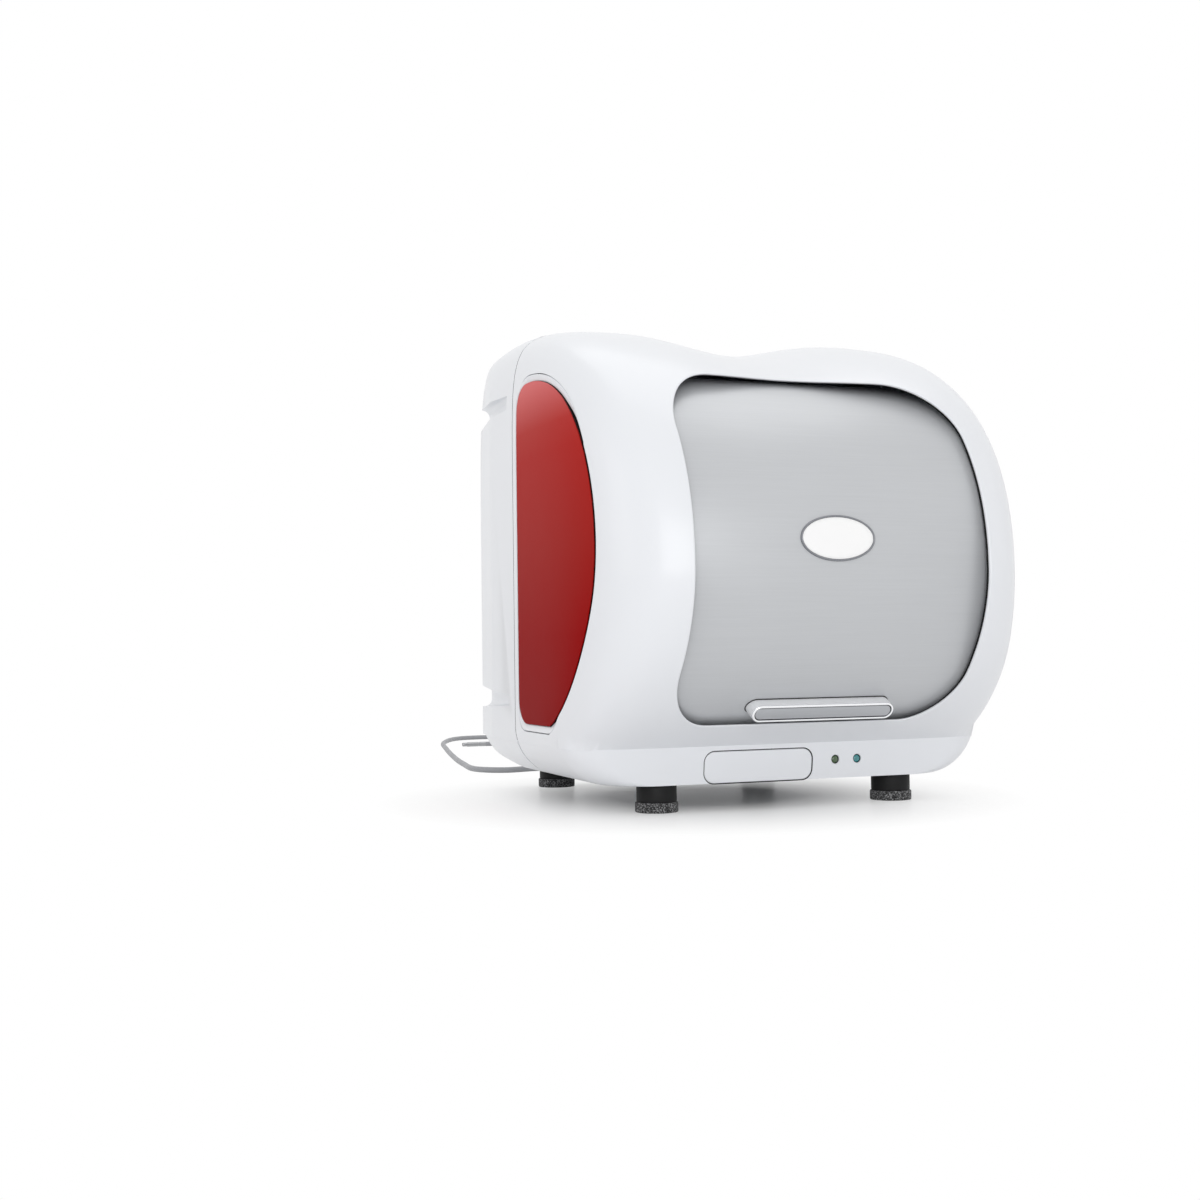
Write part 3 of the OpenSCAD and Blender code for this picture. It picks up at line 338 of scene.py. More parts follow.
def tail(x, inset):
    """How far a slice at x reaches behind the crown."""
    full, edge, a = REAR - CROWN - inset, REAR_HALF - inset, abs(x)
    flat = edge - REAR_ROUND
    if a <= flat:
        return full
    if a <= edge:
        return full - REAR_ROUND * (1 - math.sqrt(max(0, 1 - ((a - flat) / REAR_ROUND) ** 2)))
    return (full - REAR_ROUND) * max(0.02, (W - inset - a) / (W - inset - edge))

def corner_floor(x, inset):
    a = min(CORNER, max(0, abs(x) - (W - CORNER) + inset))
    return UNDER + CORNER - math.sqrt(CORNER * CORNER - a * a)

def body_slice(x, inset, n):
    """The body's outline at x, as y and z: up the front, over the crown and down the back."""
    h, fore = W - inset, CROWN + FRONT - inset
    up, low = float(crown(x)) - inset - BELLY, DROP - inset
    fz = max(CREASE + 2.5 if inset > 0 else CREASE, corner_floor(x, inset))
    kt, kl = float(keep(x, h, EDGE_TOP)), float(keep(x, h, EDGE_LOW))
    last = math.asin(min(1, ((BELLY - fz) / (low * kl)) ** (CURVE_LOW / 2)))
    back = tail(x, inset)
    pts = []
    for i in range(n):
        t = last * (1 - i / n)
        m = EDGE_FRONT + (EDGE_LOW - EDGE_FRONT) * math.sin(t) ** (4 / CURVE_LOW)
        k = kl if i == 0 else float(keep(x, h, m))
        z = fz if i == 0 else max(fz, BELLY - low * k * math.sin(t) ** (2 / CURVE_LOW))
        pts.append((CROWN - fore * k * math.cos(t) ** (2 / CURVE_LOW), z))
    for i in range(2 * n + 1):
        t = math.pi / 4 * i / n
        m = EDGE_FRONT + (EDGE_TOP - EDGE_FRONT) * math.sin(t) ** (4 / CURVE_TOP)
        k = float(keep(x, h, m))
        pts.append((CROWN - fore * k * max(0, math.cos(t)) ** (2 / CURVE_TOP),
                    BELLY + up * k * math.sin(t) ** (2 / CURVE_TOP)))
    for i in range(1, 2 * n + 1):
        t = math.pi / 2 - math.pi / 4 * i / n
        pts.append((CROWN + back * math.cos(t) ** (2 / CURVE_BACK),
                    BELLY + up * kt * max(0, math.sin(t)) ** (2 / CURVE_BACK)))
    for i in range(1, 5):
        pts.append((CROWN + back, BELLY + (fz - BELLY) * i / 4))
    return pts

def stations(h, fine):
    """The places of the slices, closer where the sides turn in."""
    a = [SADDLE_W * i / fine for i in range(fine + 1)]
    a += [SADDLE_W + (h - SADDLE_W) * f for f in np.linspace(0.04, 0.6, fine)]
    kk = np.linspace(0.94, 0.3, 2 * fine)
    b = [h * (1 - k ** EDGE_FRONT) ** (1 / EDGE_FRONT) for k in kk]
    b = [v for v in b if v > a[-1] + 0.4]
    out, lastv = [], -1
    for v in a + b:
        if v - lastv > 0.05:
            out.append(v)
            lastv = v
    return [-v for v in out[:0:-1]] + out

def mesh_object(name, verts, faces, smooth=True):
    me = bpy.data.meshes.new(name)
    me.from_pydata([tuple(v) for v in verts], [], faces)
    me.validate()
    bm = bmesh.new()
    bm.from_mesh(me)
    bmesh.ops.recalc_face_normals(bm, faces=bm.faces)
    bm.to_mesh(me)
    bm.free()
    if smooth:
        me.polygons.foreach_set('use_smooth', [True] * len(me.polygons))
    o = bpy.data.objects.new(name, me)
    bpy.context.scene.collection.objects.link(o)
    return o

def closed_rows(rows):
    """Vertices and faces of a form closed at both ends, from rows of as many points each."""
    n = len(rows[0])
    faces = [list(range(n))[::-1]]
    for i in range(len(rows) - 1):
        for j in range(n):
            k = (j + 1) % n
            faces.append([i * n + j, i * n + k, (i + 1) * n + k, (i + 1) * n + j])
    faces.append([(len(rows) - 1) * n + j for j in range(n)])
    return [p for r in rows for p in r], faces

def upper(inset, n=16, fine=10):
    """The body over the crease; inset makes it smaller all round."""
    rows = [[(x * S, y * S, z * S) for y, z in body_slice(x, inset, n)] for x in stations(W - inset, fine)]
    return mesh_object("upper", *closed_rows(rows))

CREASE_TURN = math.asin(((BELLY - CREASE) / DROP) ** (CURVE_LOW / 2))
CREASE_FRONT = CROWN - (CROWN + FRONT) * math.cos(CREASE_TURN) ** (2 / CURVE_LOW)

def skirt_front(z):
    return CREASE_FRONT + LEAN * (CREASE - z) / (CREASE - UNDER)

def skirt_half(z):
    return W - CORNER + math.sqrt(CORNER ** 2 - max(0, UNDER + CORNER - z) ** 2)

def skirt_back(z):
    return REAR - BACK_LEAN * max(0, (CREASE - z) / (CREASE - UNDER)) ** 2

def skirt_ring(z, inset, zz, q=12):
    w, f, b = skirt_half(z) - inset, skirt_front(z) + inset, skirt_back(z) - inset
    rf, rb, v = SKIRT_R - inset, SKIRT_BACK_R - inset, w - BACK_SIDE
    a = [math.pi / 2 * i / q for i in range(q + 1)]
    pts = [(w - rf + rf * math.sin(t), f + rf - rf * math.cos(t)) for t in a]
    pts += [(w, CROWN)]
    pts += [(v - rb + rb * math.cos(t), b - rb + rb * math.sin(t)) for t in a]
    pts += [(-v + rb - rb * math.sin(t), b - rb + rb * math.cos(t)) for t in a]
    pts += [(-w, CROWN)]
    pts += [(-w + rf - rf * math.cos(t), f + rf - rf * math.sin(t)) for t in a]
    return [(x * S, y * S, zz * S) for x, y in pts]

def skirt(inset):
    """The body under the crease."""
    levels = [UNDER + (CREASE - UNDER) * (i / 14) ** 1.6 for i in range(15)]
    rows = [skirt_ring(z, inset, z if i or not inset else UNDER - 1) for i, z in enumerate(levels)]
    rows.append(skirt_ring(CREASE, inset, CREASE + (3 if inset else 0.5)))
    return mesh_object("skirt", *closed_rows(rows))

def prism_x(outline, x0, x1):
    n = len(outline)
    v = [(x * S, y * S, z * S) for x in (x0, x1) for y, z in outline]
    f = [list(range(n))[::-1], list(range(n, 2 * n))]
    f += [[j, (j + 1) % n, n + (j + 1) % n, n + j] for j in range(n)]
    return mesh_object("prism", v, f, False)

def prism_y(outline, y0, y1):
    n = len(outline)
    v = [(x * S, y * S, z * S) for y in (y0, y1) for x, z in outline]
    f = [list(range(n)), list(range(n, 2 * n))[::-1]]
    f += [[j, (j + 1) % n, n + (j + 1) % n, n + j] for j in range(n)]
    return mesh_object("prism", v, f, False)

def block(x0, y0, z0, x1, y1, z1):
    return prism_y([(x0, z0), (x1, z0), (x1, z1), (x0, z1)], y0, y1)

def apply_modifiers(o):
    """Replaces an object's mesh by what its modifiers make of it."""
    dg = bpy.context.evaluated_depsgraph_get()
    me = bpy.data.meshes.new_from_object(o.evaluated_get(dg))
    o.modifiers.clear()
    old = o.data
    o.data = me
    bpy.data.meshes.remove(old)

def boolean(a, b, op):
    """Joins b to a, cuts it from a or keeps what both share. b is used up."""
    m = a.modifiers.new("b", 'BOOLEAN')
    m.operation = op
    m.solver = 'MANIFOLD'
    m.object = b
    apply_modifiers(a)
    bpy.data.objects.remove(b)
    return a

def copy_of(o):
    c = o.copy()
    c.data = o.data.copy()
    bpy.context.scene.collection.objects.link(c)
    return c

def arc(cx, cy, r, a0, a1, n):
    turns = [math.radians(a0 + (a1 - a0) * i / n) for i in range(n + 1)]
    return [(cx + r * math.cos(a), cy + r * math.sin(a)) for a in turns]

def rounded(x0, z0, x1, z1, r, n=12):
    """A rectangle with round corners, anticlockwise from its lower right corner."""
    return (arc(x1 - r, z0 + r, r, -90, 0, n) + arc(x1 - r, z1 - r, r, 0, 90, n)
            + arc(x0 + r, z1 - r, r, 90, 180, n) + arc(x0 + r, z0 + r, r, 180, 270, n))

def opening_outline():
    """The door opening from the front, as x and z, with a top edge that rises a little in the middle."""
    w, rt, rl, lo, hi = OPEN_HALF, OPEN_R_TOP, OPEN_R_LOW, OPEN_LOW, OPEN_TOP
    top = [(x, hi + OPEN_RISE * (1 - (x / (w - rt)) ** 2)) for x in np.linspace(w - rt, rt - w, 25)[1:-1]]
    return (arc(w - rl, lo + rl, rl, -90, 0, 24) + arc(w - rt, hi - rt, rt, 0, 90, 24) + top
            + arc(-w + rt, hi - rt, rt, 90, 180, 24) + arc(-w + rl, lo + rl, rl, 180, 270, 24))

def panel_outline(e=0.0, fore=0.0):
    """The red panel from the side, as y and z: front arc, flat foot, straight back with round corners.

    e makes it larger all round, fore draws its front arc back."""
    r, R = PANEL_CORNER, PANEL_R + e
    lo, back = PANEL_LOW - e, PANEL_BACK + e
    a_low = math.degrees(math.asin((lo - PANEL_Z) / R))
    y_low = PANEL_Y - R * math.cos(math.radians(a_low))
    hi = PANEL_Z + PANEL_R
    cy = back - r
    pts = [(y_low, lo)]
    pts += arc(cy, lo + r, r, -90, 0, 16)
    zc = hi - r
    pts += arc(cy, zc, r, 0, 90, 16)
    out = []
    for y, z in pts:
        d = math.hypot(y - PANEL_Y, z - PANEL_Z)
        if d > R and z > PANEL_Z:
            y, z = PANEL_Y + (y - PANEL_Y) * R / d, PANEL_Z + (z - PANEL_Z) * R / d
        out.append((y, z))
    y, z = out[-1]
    a1 = math.degrees(math.atan2(z - PANEL_Z, y - PANEL_Y))
    out += arc(PANEL_Y, PANEL_Z, R, a1, 180 - a_low, 90)[1:-1]
    drawn = []
    for y, z in out:
        d = math.hypot(y - PANEL_Y, z - PANEL_Z)
        k = 1 - fore * ((PANEL_Y - y) / d) ** 2 / d if y < PANEL_Y and d > R - 1 else 1
        drawn.append((PANEL_Y + (y - PANEL_Y) * k, PANEL_Z + (z - PANEL_Z) * k))
    return drawn

def tree_of(o):
    return BVHTree.FromPolygons([v.co for v in o.data.vertices], [list(p.vertices) for p in o.data.polygons])

def smooth_from(obj, sources, limit=28):
    """Gives obj the smooth surface normals of the source forms wherever a face lies on one of them."""
    trees = []
    for s in sources:
        me = s.data
        trees.append((tree_of(s), me, grid_normals(me)))
    me = obj.data
    cos = math.cos(math.radians(limit))
    normals = [None] * len(me.loops)
    cache = {}
    for p in me.polygons:
        fn = p.normal
        for li in p.loop_indices:
            vi = me.loops[li].vertex_index
            best = None
            if vi not in cache:
                found = []
                co = me.vertices[vi].co
                for tree, sm, vn in trees:
                    loc, nrm, idx, dist = tree.find_nearest(co, 0.0004)
                    if idx is not None:
                        found.append(blend_normal(sm, vn, idx, loc))
                cache[vi] = found
            for n in cache[vi]:
                d = n.dot(fn)
                if d > cos and (best is None or d > best[0]):
                    best = (d, n)
            normals[li] = best[1] if best else fn
    me.polygons.foreach_set('use_smooth', [True] * len(me.polygons))
    me.normals_split_custom_set(normals)

def grid_normals(me):
    """Vertex normals that ignore the flat faces closing a form."""
    acc = [Vector() for _ in me.vertices]
    for p in me.polygons:
        if len(p.vertices) > 4 or p.area < 1e-12:
            continue
        n = p.normal * p.area
        for v in p.vertices:
            acc[v] += n
    return [a.normalized() if a.length > 0 else Vector((0, 0, 1)) for a in acc]

def blend_normal(me, vn, idx, loc):
    """The normal at a place on a face, from the normals vn of its vertices."""
    n = Vector()
    for v in me.polygons[idx].vertices:
        d = 1 / ((me.vertices[v].co - loc).length + 1e-7)
        n += vn[v] * d * d
    return n.normalized()

def sharpen(o, deg=32):
    """Smooth faces, with a sharp edge where two faces meet at more than deg."""
    bm = bmesh.new()
    bm.from_mesh(o.data)
    lim = math.radians(deg)
    for e in bm.edges:
        e.smooth = e.calc_face_angle(3.2) < lim
    for f in bm.faces:
        f.smooth = True
    bm.to_mesh(o.data)
    bm.free()
    return o

def dress(o, body, *nodes, mat=None, slot=None):
    """Puts a finished piece in the scene: its material, the body it rides on and the node it stands for."""
    if mat:
        paint(o, M[mat])
    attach(o, body)
    if nodes:
        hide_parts(*nodes)
    return o

def named(o, name):
    o.name = name
    o.data.name = name
    return o

# ------------------------------------------------------------- cord and plug
ROUTE = [(60, 277, 70), (60, 302, 64), (46, 345, 40), (20, 390, 12), (-20, 410, 3.5), (-77, 412, 3.5),
         (-122, 404, 3.5), (-150, 440, 3.5), (-142, 525, 3.5), (-124, 641, 3.5), (-87, 837, 3.5),
         (-50, 1000, 3.5), (10, 1110, 3.5), (110, 1090, 3.5), (140, 980, 3.5), (70, 930, 3.5), (0, 930, 3.5)]

def spline_route(route, steps):
    """A smooth curve through the points of route."""
    p = [Vector(q) for q in route]
    n = len(p) - 1
    out = []
    for s in range(steps + 1):
        u = n * s / steps
        i = min(n - 1, int(u))
        a = p[i - 1] if i else 2 * p[0] - p[1]
        d = p[i + 2] if i < n - 1 else 2 * p[n] - p[n - 1]
        b, c, t = p[i], p[i + 1], u - i
        bend, twist = 2 * a - 5 * b + 4 * c - d, 3 * b - a - 3 * c + d
        out.append(0.5 * (2 * b + (c - a) * t + bend * t * t + twist * t ** 3))
    return out

def sweep_tube(name, path, radius, sides=20):
    rows, up0 = [], Vector((0, 0, 1))
    n = len(path)
    for i, p in enumerate(path):
        d = (path[min(n - 1, i + 1)] - path[max(0, i - 1)]).normalized()
        side = d.cross(up0).normalized()
        up = side.cross(d)
        turns = [2 * math.pi * k / sides for k in range(sides)]
        rows.append([p + radius * (math.cos(a) * up + math.sin(a) * side) for a in turns])
    return mesh_object(name, *closed_rows(rows))

cord_path = [Vector((p.x, p.y, max(CORD_R, p.z))) * S for p in spline_route(ROUTE, 320)]
cord = sharpen(sweep_tube("mains_cord", cord_path, CORD_R * S), 50)
dress(cord, "chassis", "cord", mat="cord_grey", slot="grey_plastic")

def turned(name, profile, start, axis, sides=48):
    """A turned piece: profile is a list of (distance along the axis, radius) in mm."""
    ax = Vector(axis).normalized()
    side = ax.cross(Vector((0, 0, 1)))
    if side.length < 0.1:
        side = Vector((1, 0, 0))
    side.normalize()
    up = side.cross(ax)
    turns = [2 * math.pi * k / sides for k in range(sides)]
    rows = [[(Vector(start) + ax * d + r * (math.cos(a) * side + math.sin(a) * up)) * S for a in turns]
            for d, r in profile]
    return sharpen(mesh_object(name, *closed_rows(rows)), 40)

relief = [(0, 6.5), (1, 7.6), (3, 8.0)]
for i in range(8):
    r = 7.6 - i * 0.38
    relief += [(4.5 + i * 3.6, r), (5.2 + i * 3.6, r - 0.9), (6.6 + i * 3.6, r - 0.9), (7.3 + i * 3.6, r)]
relief += [(34.4, 4.6)]
plug_tail = dress(turned("cord_relief", relief, (60, 243.0, 70), (0, 1, 0)), "chassis",
                  mat="grey_plastic", slot="grey_plastic")

def soft_block(name, x0, y0, z0, x1, y1, z1, bevel):
    """A block with rounded edges."""
    o = block(x0, y0, z0, x1, y1, z1)
    m = o.modifiers.new("r", 'BEVEL')
    m.width = bevel * S
    m.segments = 3
    apply_modifiers(o)
    return sharpen(named(o, name), 35)

plug_body = dress(soft_block("plug_body", 47.8, 207.7, 61.8, 72.2, 242.8, 78.2, 2.4), "chassis", "cord_plug",
                  mat="grey_plastic", slot="grey_plastic")
end = cord_path[-1] / S
tip_profile = [(0, 3.45), (0.6, 3.5), (10, 3.5), (10.2, 3.1), (12, 3.1), (12.2, 3.5), (30, 3.5), (30.3, 3.0),
               (37, 3.0), (37.6, 2.6)]
far_tip = dress(turned("cord_far_connector", tip_profile, end, (-1, 0, 0)), "chassis", "cord_connector",
                mat="steel", slot="steel")

# ---------------------------------------------------------------- housings
form = upper(0, 30, 20)
foot_form = skirt(0)
FORM, FOOT = tree_of(form), tree_of(foot_form)

def cast(origin, direction, far=False):
    """Where a ray meets the body's outside. With far it starts inside and the outermost hit counts."""
    o, d = Vector(origin) * S, Vector(direction).normalized()
    hits = [t.ray_cast(o, d) for t in (FORM, FOOT)]
    hits = [h for h in hits if h[0] is not None]
    if not hits:
        return None
    h = max(hits, key=lambda q: q[3]) if far else min(hits, key=lambda q: q[3])
    n = h[1] if h[1].dot(d) < 0 or far else -h[1]
    return h[0] / S, n

def edge_lip(name, outer, corner, inward, depth, steps=7, closed=True, sink=0.05, flat=None):
    """A rounded edge from points on the surface, over a corner line and down a wall.

    Where flat is 1 the edge is a chamfer, and sink is how far its outer row lies under the surface."""
    rows = []
    for i, (a, p, w) in enumerate(zip(outer, corner, inward)):
        r = (a - p).length
        f = flat[i] if flat else 0
        b = p + w * (min(r, depth * 0.8) * (1 - f) + 2.6 * f) + (p - a) * (1.7 * f / r)
        a = a + (p - a) * (0.85 * f / r)
        q = p * (1 - f) + (a + b) / 2 * f
        row = [a + (a - p) * 0.25 * (1 - f) + w * (sink + 2.5 * f)]
        for j in range(steps + 1):
            t = j / steps
            row.append((1 - t) ** 2 * a + 2 * t * (1 - t) * q + t * t * b)
        row.append(p + w * (min(r, depth * 0.8) + 0.25 * r))
        row.append(p + w * depth)
        rows.append([q * S for q in row])
    n, m = len(rows), len(rows[0])
    faces = []
    for i in range(n if closed else n - 1):
        k = (i + 1) % n
        for j in range(m - 1):
            faces.append([i * m + j, i * m + j + 1, k * m + j + 1, k * m + j])
    return mesh_object(name, [p for r in rows for p in r], faces)

def gap_shade_strip(name, points, inward, d0, d1, closed=True):
    """A black strip down a wall that paints the shade in a gap, from depth d0, a number or a list, to d1."""
    n = len(points)
    start = d0 if isinstance(d0, list) else [d0] * n
    rows = [[(p + w * d) * S for d in (u, d1)] for p, w, u in zip(points, inward, start)]
    ends = [(i, (i + 1) % n) for i in range(n if closed else n - 1)]
    faces = [[2 * i, 2 * i + 1, 2 * k + 1, 2 * k] for i, k in ends]
    o = mesh_object(name, [q for r in rows for q in r], faces, False)
    return dress(o, "chassis", mat="black_plastic", slot="shell")

def resample(pts, n):
    """n points evenly along a closed outline."""
    p = np.array(pts + [pts[0]], float)
    d = np.concatenate([[0], np.cumsum(np.hypot(*np.diff(p, axis=0).T))])
    t = np.linspace(0, d[-1], n, endpoint=False)
    return [(float(np.interp(v, d, p[:, 0])), float(np.interp(v, d, p[:, 1]))) for v in t]

def offset_pairs(outline, n, grow):
    """Even points on an outline and partners moved outwards by grow, a number or a function of the point."""
    p = resample(outline, n)
    out = []
    for i in range(n):
        a, b = p[i - 1], p[(i + 1) % n]
        tx, ty = b[0] - a[0], b[1] - a[1]
        l = math.hypot(tx, ty)
        g = grow(p[i]) if callable(grow) else grow
        out.append((p[i][0] + ty / l * g, p[i][1] - tx / l * g))
    area = sum(p[i - 1][0] * p[i][1] - p[i][0] * p[i - 1][1] for i in range(n))
    if area < 0:
        out = [(2 * a[0] - b[0], 2 * a[1] - b[1]) for a, b in zip(p, out)]
    return p, out

def join(objs, name):
    bm = bmesh.new()
    for o in objs:
        bm.from_mesh(o.data)
    me = bpy.data.meshes.new(name)
    bm.to_mesh(me)
    bm.free()
    me.polygons.foreach_set('use_smooth', [True] * len(me.polygons))
    for o in objs:
        bpy.data.objects.remove(o)
    o = bpy.data.objects.new(name, me)
    bpy.context.scene.collection.objects.link(o)
    return o

def on_front(points):
    """An outline given as x and z, laid on the body from the front."""
    return [cast((x, -400, z), (0, 1, 0))[0] for x, z in points]

def on_side(s, points):
    """An outline given as y and z, laid on the body from its left, with s = -1, or its right."""
    return [cast((s * 400, y, z), (-s, 0, 0))[0] for y, z in points]

def hollow_body():
    body = boolean(upper(0, 16, 11), skirt(0), 'UNION')
    inner = boolean(upper(WALL, 7, 6), skirt(WALL), 'UNION')
    return boolean(body, inner, 'DIFFERENCE')

whole = hollow_body()

# front housing
front = copy_of(whole)
boolean(front, block(-300, PART - PART_GAP / 2 - R_FRONT, -10, 300, 600, 600), 'DIFFERENCE')
p_door, a_door = offset_pairs(opening_outline(), 260, R_DOOR)
boolean(front, prism_y(a_door, -320, HINGE_Y - 10), 'DIFFERENCE')

def ease(v):
    """0 to 1 with soft ends."""
    v = max(0.0, min(1.0, v))
    return v * v * (3 - 2 * v)

def chamfer(p):
    """How much of the pocket's edge is a wide chamfer: all at the foot and over the front of the top."""
    top = ease((28 - p[0]) / 14) * ease((p[0] + 150) / 60) if p[1] > PANEL_Z + 90 else 0
    return ease((PANEL_LOW + 12 - p[1]) / 12) + top

def pocket_grow(p):
    return 1.2 + 4.4 * chamfer(p)

p_pocket, a_pocket = offset_pairs(panel_outline(1.6), 240, pocket_grow)
for s in (-1, 1):
    boolean(front, prism_x(a_pocket, s * (W - 40), s * (W + 40)), 'DIFFERENCE')

def drawer_outline(e=0.0):
    """The drawer front from the front, as x and z; e makes it larger all round."""
    x0, x1 = DRAWER_X - DRAWER_W / 2 - e, DRAWER_X + DRAWER_W / 2 + e
    return rounded(x0, DRAWER_LOW - e, x1, DRAWER_TOP + e, DRAWER_R + e, 14)

boolean(front, prism_y(drawer_outline(0.8), -220, CREASE_FRONT + 30), 'DIFFERENCE')
for x, _, _ in LAMPS:
    turns = [2 * math.pi * k / 48 for k in range(48)]
    ring = [(x + LAMP_HOLE * math.cos(a), LAMP_Z + LAMP_HOLE * math.sin(a)) for a in turns]
    boolean(front, prism_y(ring, -220, -60), 'DIFFERENCE')
smooth_from(front, [form, foot_form])

def inwards(a, q):
    """A small step from the edge of the opening towards its middle."""
    return Vector((q.x - a.x, 0, q.z - a.z)).normalized() * 0.25

A, P = on_front(a_door), on_front(p_door)
back = [Vector((0, 1, 0))] * len(A)
pieces = [edge_lip("door_lip", A, P, back, 6.0)]
# painted shade: a black strip down the wall of the door opening, for the shade in the gap between its edge
# and the door
gap_shade_strip("door_gap_shade", [q + inwards(a, q) for a, q in zip(A, P)], back,
     [min((a - q).length, 4.8) + 0.35 for a, q in zip(A, P)], 5.6)
for s in (-1, 1):
    pieces.append(edge_lip("pocket_lip", on_side(s, a_pocket), on_side(s, p_pocket),
                           [Vector((-s, 0, 0))] * len(p_pocket), 7.0, flat=[chamfer(p) for p in p_pocket]))

def ring_cut(y_edge, y_back):
    """Points round the body at y_back and y_edge, beside the parting plane, and the way into its wall."""
    rows = []
    for i in range(361):
        a = math.radians(-52 + 284 * i / 360)
        d = Vector((math.cos(a), 0, math.sin(a)))
        ha = cast((0, y_back, 235), d, True)
        hp = cast((0, y_edge, 235), d, True)
        if ha is None or hp is None or hp[0].z < UNDER + 0.3:
            continue
        rows.append((ha[0], hp[0], -d))
    return [list(c) for c in zip(*rows)]

A, P, N = ring_cut(PART - PART_GAP / 2, PART - PART_GAP / 2 - R_FRONT)
pieces.append(edge_lip("front_rim", A, P, N, 6.0, closed=False))
front_lips = join(pieces, "front_edges")
dress(named(front, "front_housing"), "chassis", "front_shell", mat="shell", slot="shell")
dress(front_lips, "chassis", mat="shell", slot="shell")

# floors of the side pockets, in black: painted shade seen through the gaps round the red panels
SIDES = ((-1, "left"), (1, "right"))
for s, side in SIDES:
    u = boolean(upper(6.4, 10, 8), upper(8.5, 7, 6), 'DIFFERENCE')
    boolean(u, prism_x(panel_outline(8.5), s * (W - 60), s * (W + 20)), 'INTERSECT')
    # painted shade: the black floor darkens the gaps round the red panel
    dress(named(u, "pocket_floor_shade_%s" % side), "chassis", mat="black_plastic", slot="shell")

# red side panels, a little under the housing's surface
RED_SINK, RED_FORE = 0.6, 2.4
p_red, a_red = offset_pairs(panel_outline(0, RED_FORE), 240, -R_RED)
for s, side in SIDES:
    u = boolean(upper(RED_SINK, 18, 14), upper(5.7, 7, 6), 'DIFFERENCE')
    boolean(u, prism_x(a_red, s * (W - 40), s * (W + 20)), 'INTERSECT')
    inward = [Vector((-s, 0, 0))] * len(p_red)
    shift = Vector((-s * RED_SINK, 0, 0))
    A, P = ([q + shift for q in on_side(s, ring)] for ring in (a_red, p_red))
    lip = edge_lip("red_lip", A, P, inward, 1.5)
    # painted shade: a black strip down the pocket wall round the red panel, for the shade in the gap at its
    # edge
    gap_shade_strip("red_panel_seal_%s" % side, P, inward, R_RED + 0.02, 6.0)
    sharpen(u, 25)
    dress(named(u, "red_panel_%s" % side), "chassis", "%s_side_panel" % side, mat="red", slot="red")
    dress(named(lip, "red_panel_edge_%s" % side), "chassis", mat="red", slot="red")

# rear housing
rear = copy_of(whole)
bpy.data.objects.remove(whole)

def slot_wedge(s, low, high, low_f, high_f, e=0.0):
    """A finger slot: a wedge that deepens to the back, with a rounded floor. Its heights are low to high
    at the back and low_f to high_f at the front; e makes it larger all round."""
    rows = []
    for y, d, lo, hi in ((70 - e, 4.5 + e, low_f, high_f), (REAR + 13, 29 + e, low, high)):
        r = min(0.36 * (hi - lo), 0.8 * d) + e
        x, lo, hi = W - d, lo - e, hi + e
        turns = np.linspace(0, math.pi / 2, 9)
        row = [(W + 30, lo)] + [(x + r - r * math.sin(a), lo + r - r * math.cos(a)) for a in turns]
        row += [(x + r - r * math.cos(a), hi - r + r * math.sin(a)) for a in turns] + [(W + 30, hi)]
        rows.append([(s * px * S, y * S, pz * S) for px, pz in row])
    v, f = closed_rows(rows)
    return mesh_object("wedge", v, f, False)

SLOTS = [(s, z) for s in (-1, 1) for z in ((88, 112, 94, 105), (389, 413, 388, 402))]
for s, z in SLOTS:
    boolean(rear, boolean(upper(0.1, 16, 11), slot_wedge(s, *z, e=WALL), 'INTERSECT'), 'UNION')
boolean(rear, block(-300, -600, -10, 300, PART + PART_GAP / 2 + R_REAR, 600), 'DIFFERENCE')
for s, z in SLOTS:
    boolean(rear, slot_wedge(s, *z), 'DIFFERENCE')
boolean(rear, prism_y(rounded(-165, 45, 165, 330, 12), REAR - 20, REAR + 20), 'DIFFERENCE')
smooth_from(rear, [form, foot_form])
A, P, N = ring_cut(PART + PART_GAP / 2, PART + PART_GAP / 2 + R_REAR)
rear_lip = edge_lip("rear_edges", A, P, N, 6.0, closed=False)
dress(named(rear, "rear_housing"), "chassis", "rear_shell", mat="shell", slot="shell")
dress(rear_lip, "chassis", mat="shell", slot="shell")
# painted shade: a black strip on the rear rim's wall, for the shade in the parting line
_, P, N = ring_cut(PART + PART_GAP / 2 - 0.05, PART + PART_GAP / 2 - 0.05)
gap_shade_strip("parting_gap_shade", P, N, 0.3, 3.2, closed=False)
bpy.data.objects.remove(form)
bpy.data.objects.remove(foot_form)

# -------------------------------------------------------------------- door
def on_drum(x, v, r):
    """A point on the door: v is the way up its face from the hinge height, r the distance from its axis."""
    a = v / DOOR_R if v < 0 else max(0, v - DOOR_RISE) / DOOR_R
    return Vector((x, HINGE_Y - r * math.cos(a), HINGE_Z + min(DOOR_RISE, max(0, v)) + r * math.sin(a))) * S

def ringed(name, rings, deg):
    return sharpen(mesh_object(name, *closed_rows(rings)), deg)

def door_mesh():
    h = DOOR_HALF
    prof = [(-h, DOOR_R - 1.0), (-h + 0.3, DOOR_R - 0.3), (-h + 1, DOOR_R), (h - 1, DOOR_R),
            (h - 0.3, DOOR_R - 0.3), (h, DOOR_R - 1.0), (h, DOOR_R - DOOR_T), (-h, DOOR_R - DOOR_T)]
    low, high = math.radians(DOOR_FROM) * DOOR_R, DOOR_RISE + math.radians(DOOR_TO) * DOOR_R
    rows = [[on_drum(x, v, r) for x, r in prof] for v in np.linspace(low, high, 223)]
    return ringed("drum_door", rows, 30)

dress(door_mesh(), "door", "door_panel", mat="silver_door", slot="silver_door")

def stadium(w, h, n=24):
    r = h / 2
    return arc(w / 2 - r, 0, r, -90, 90, n) + arc(-w / 2 + r, 0, r, 90, 270, n)

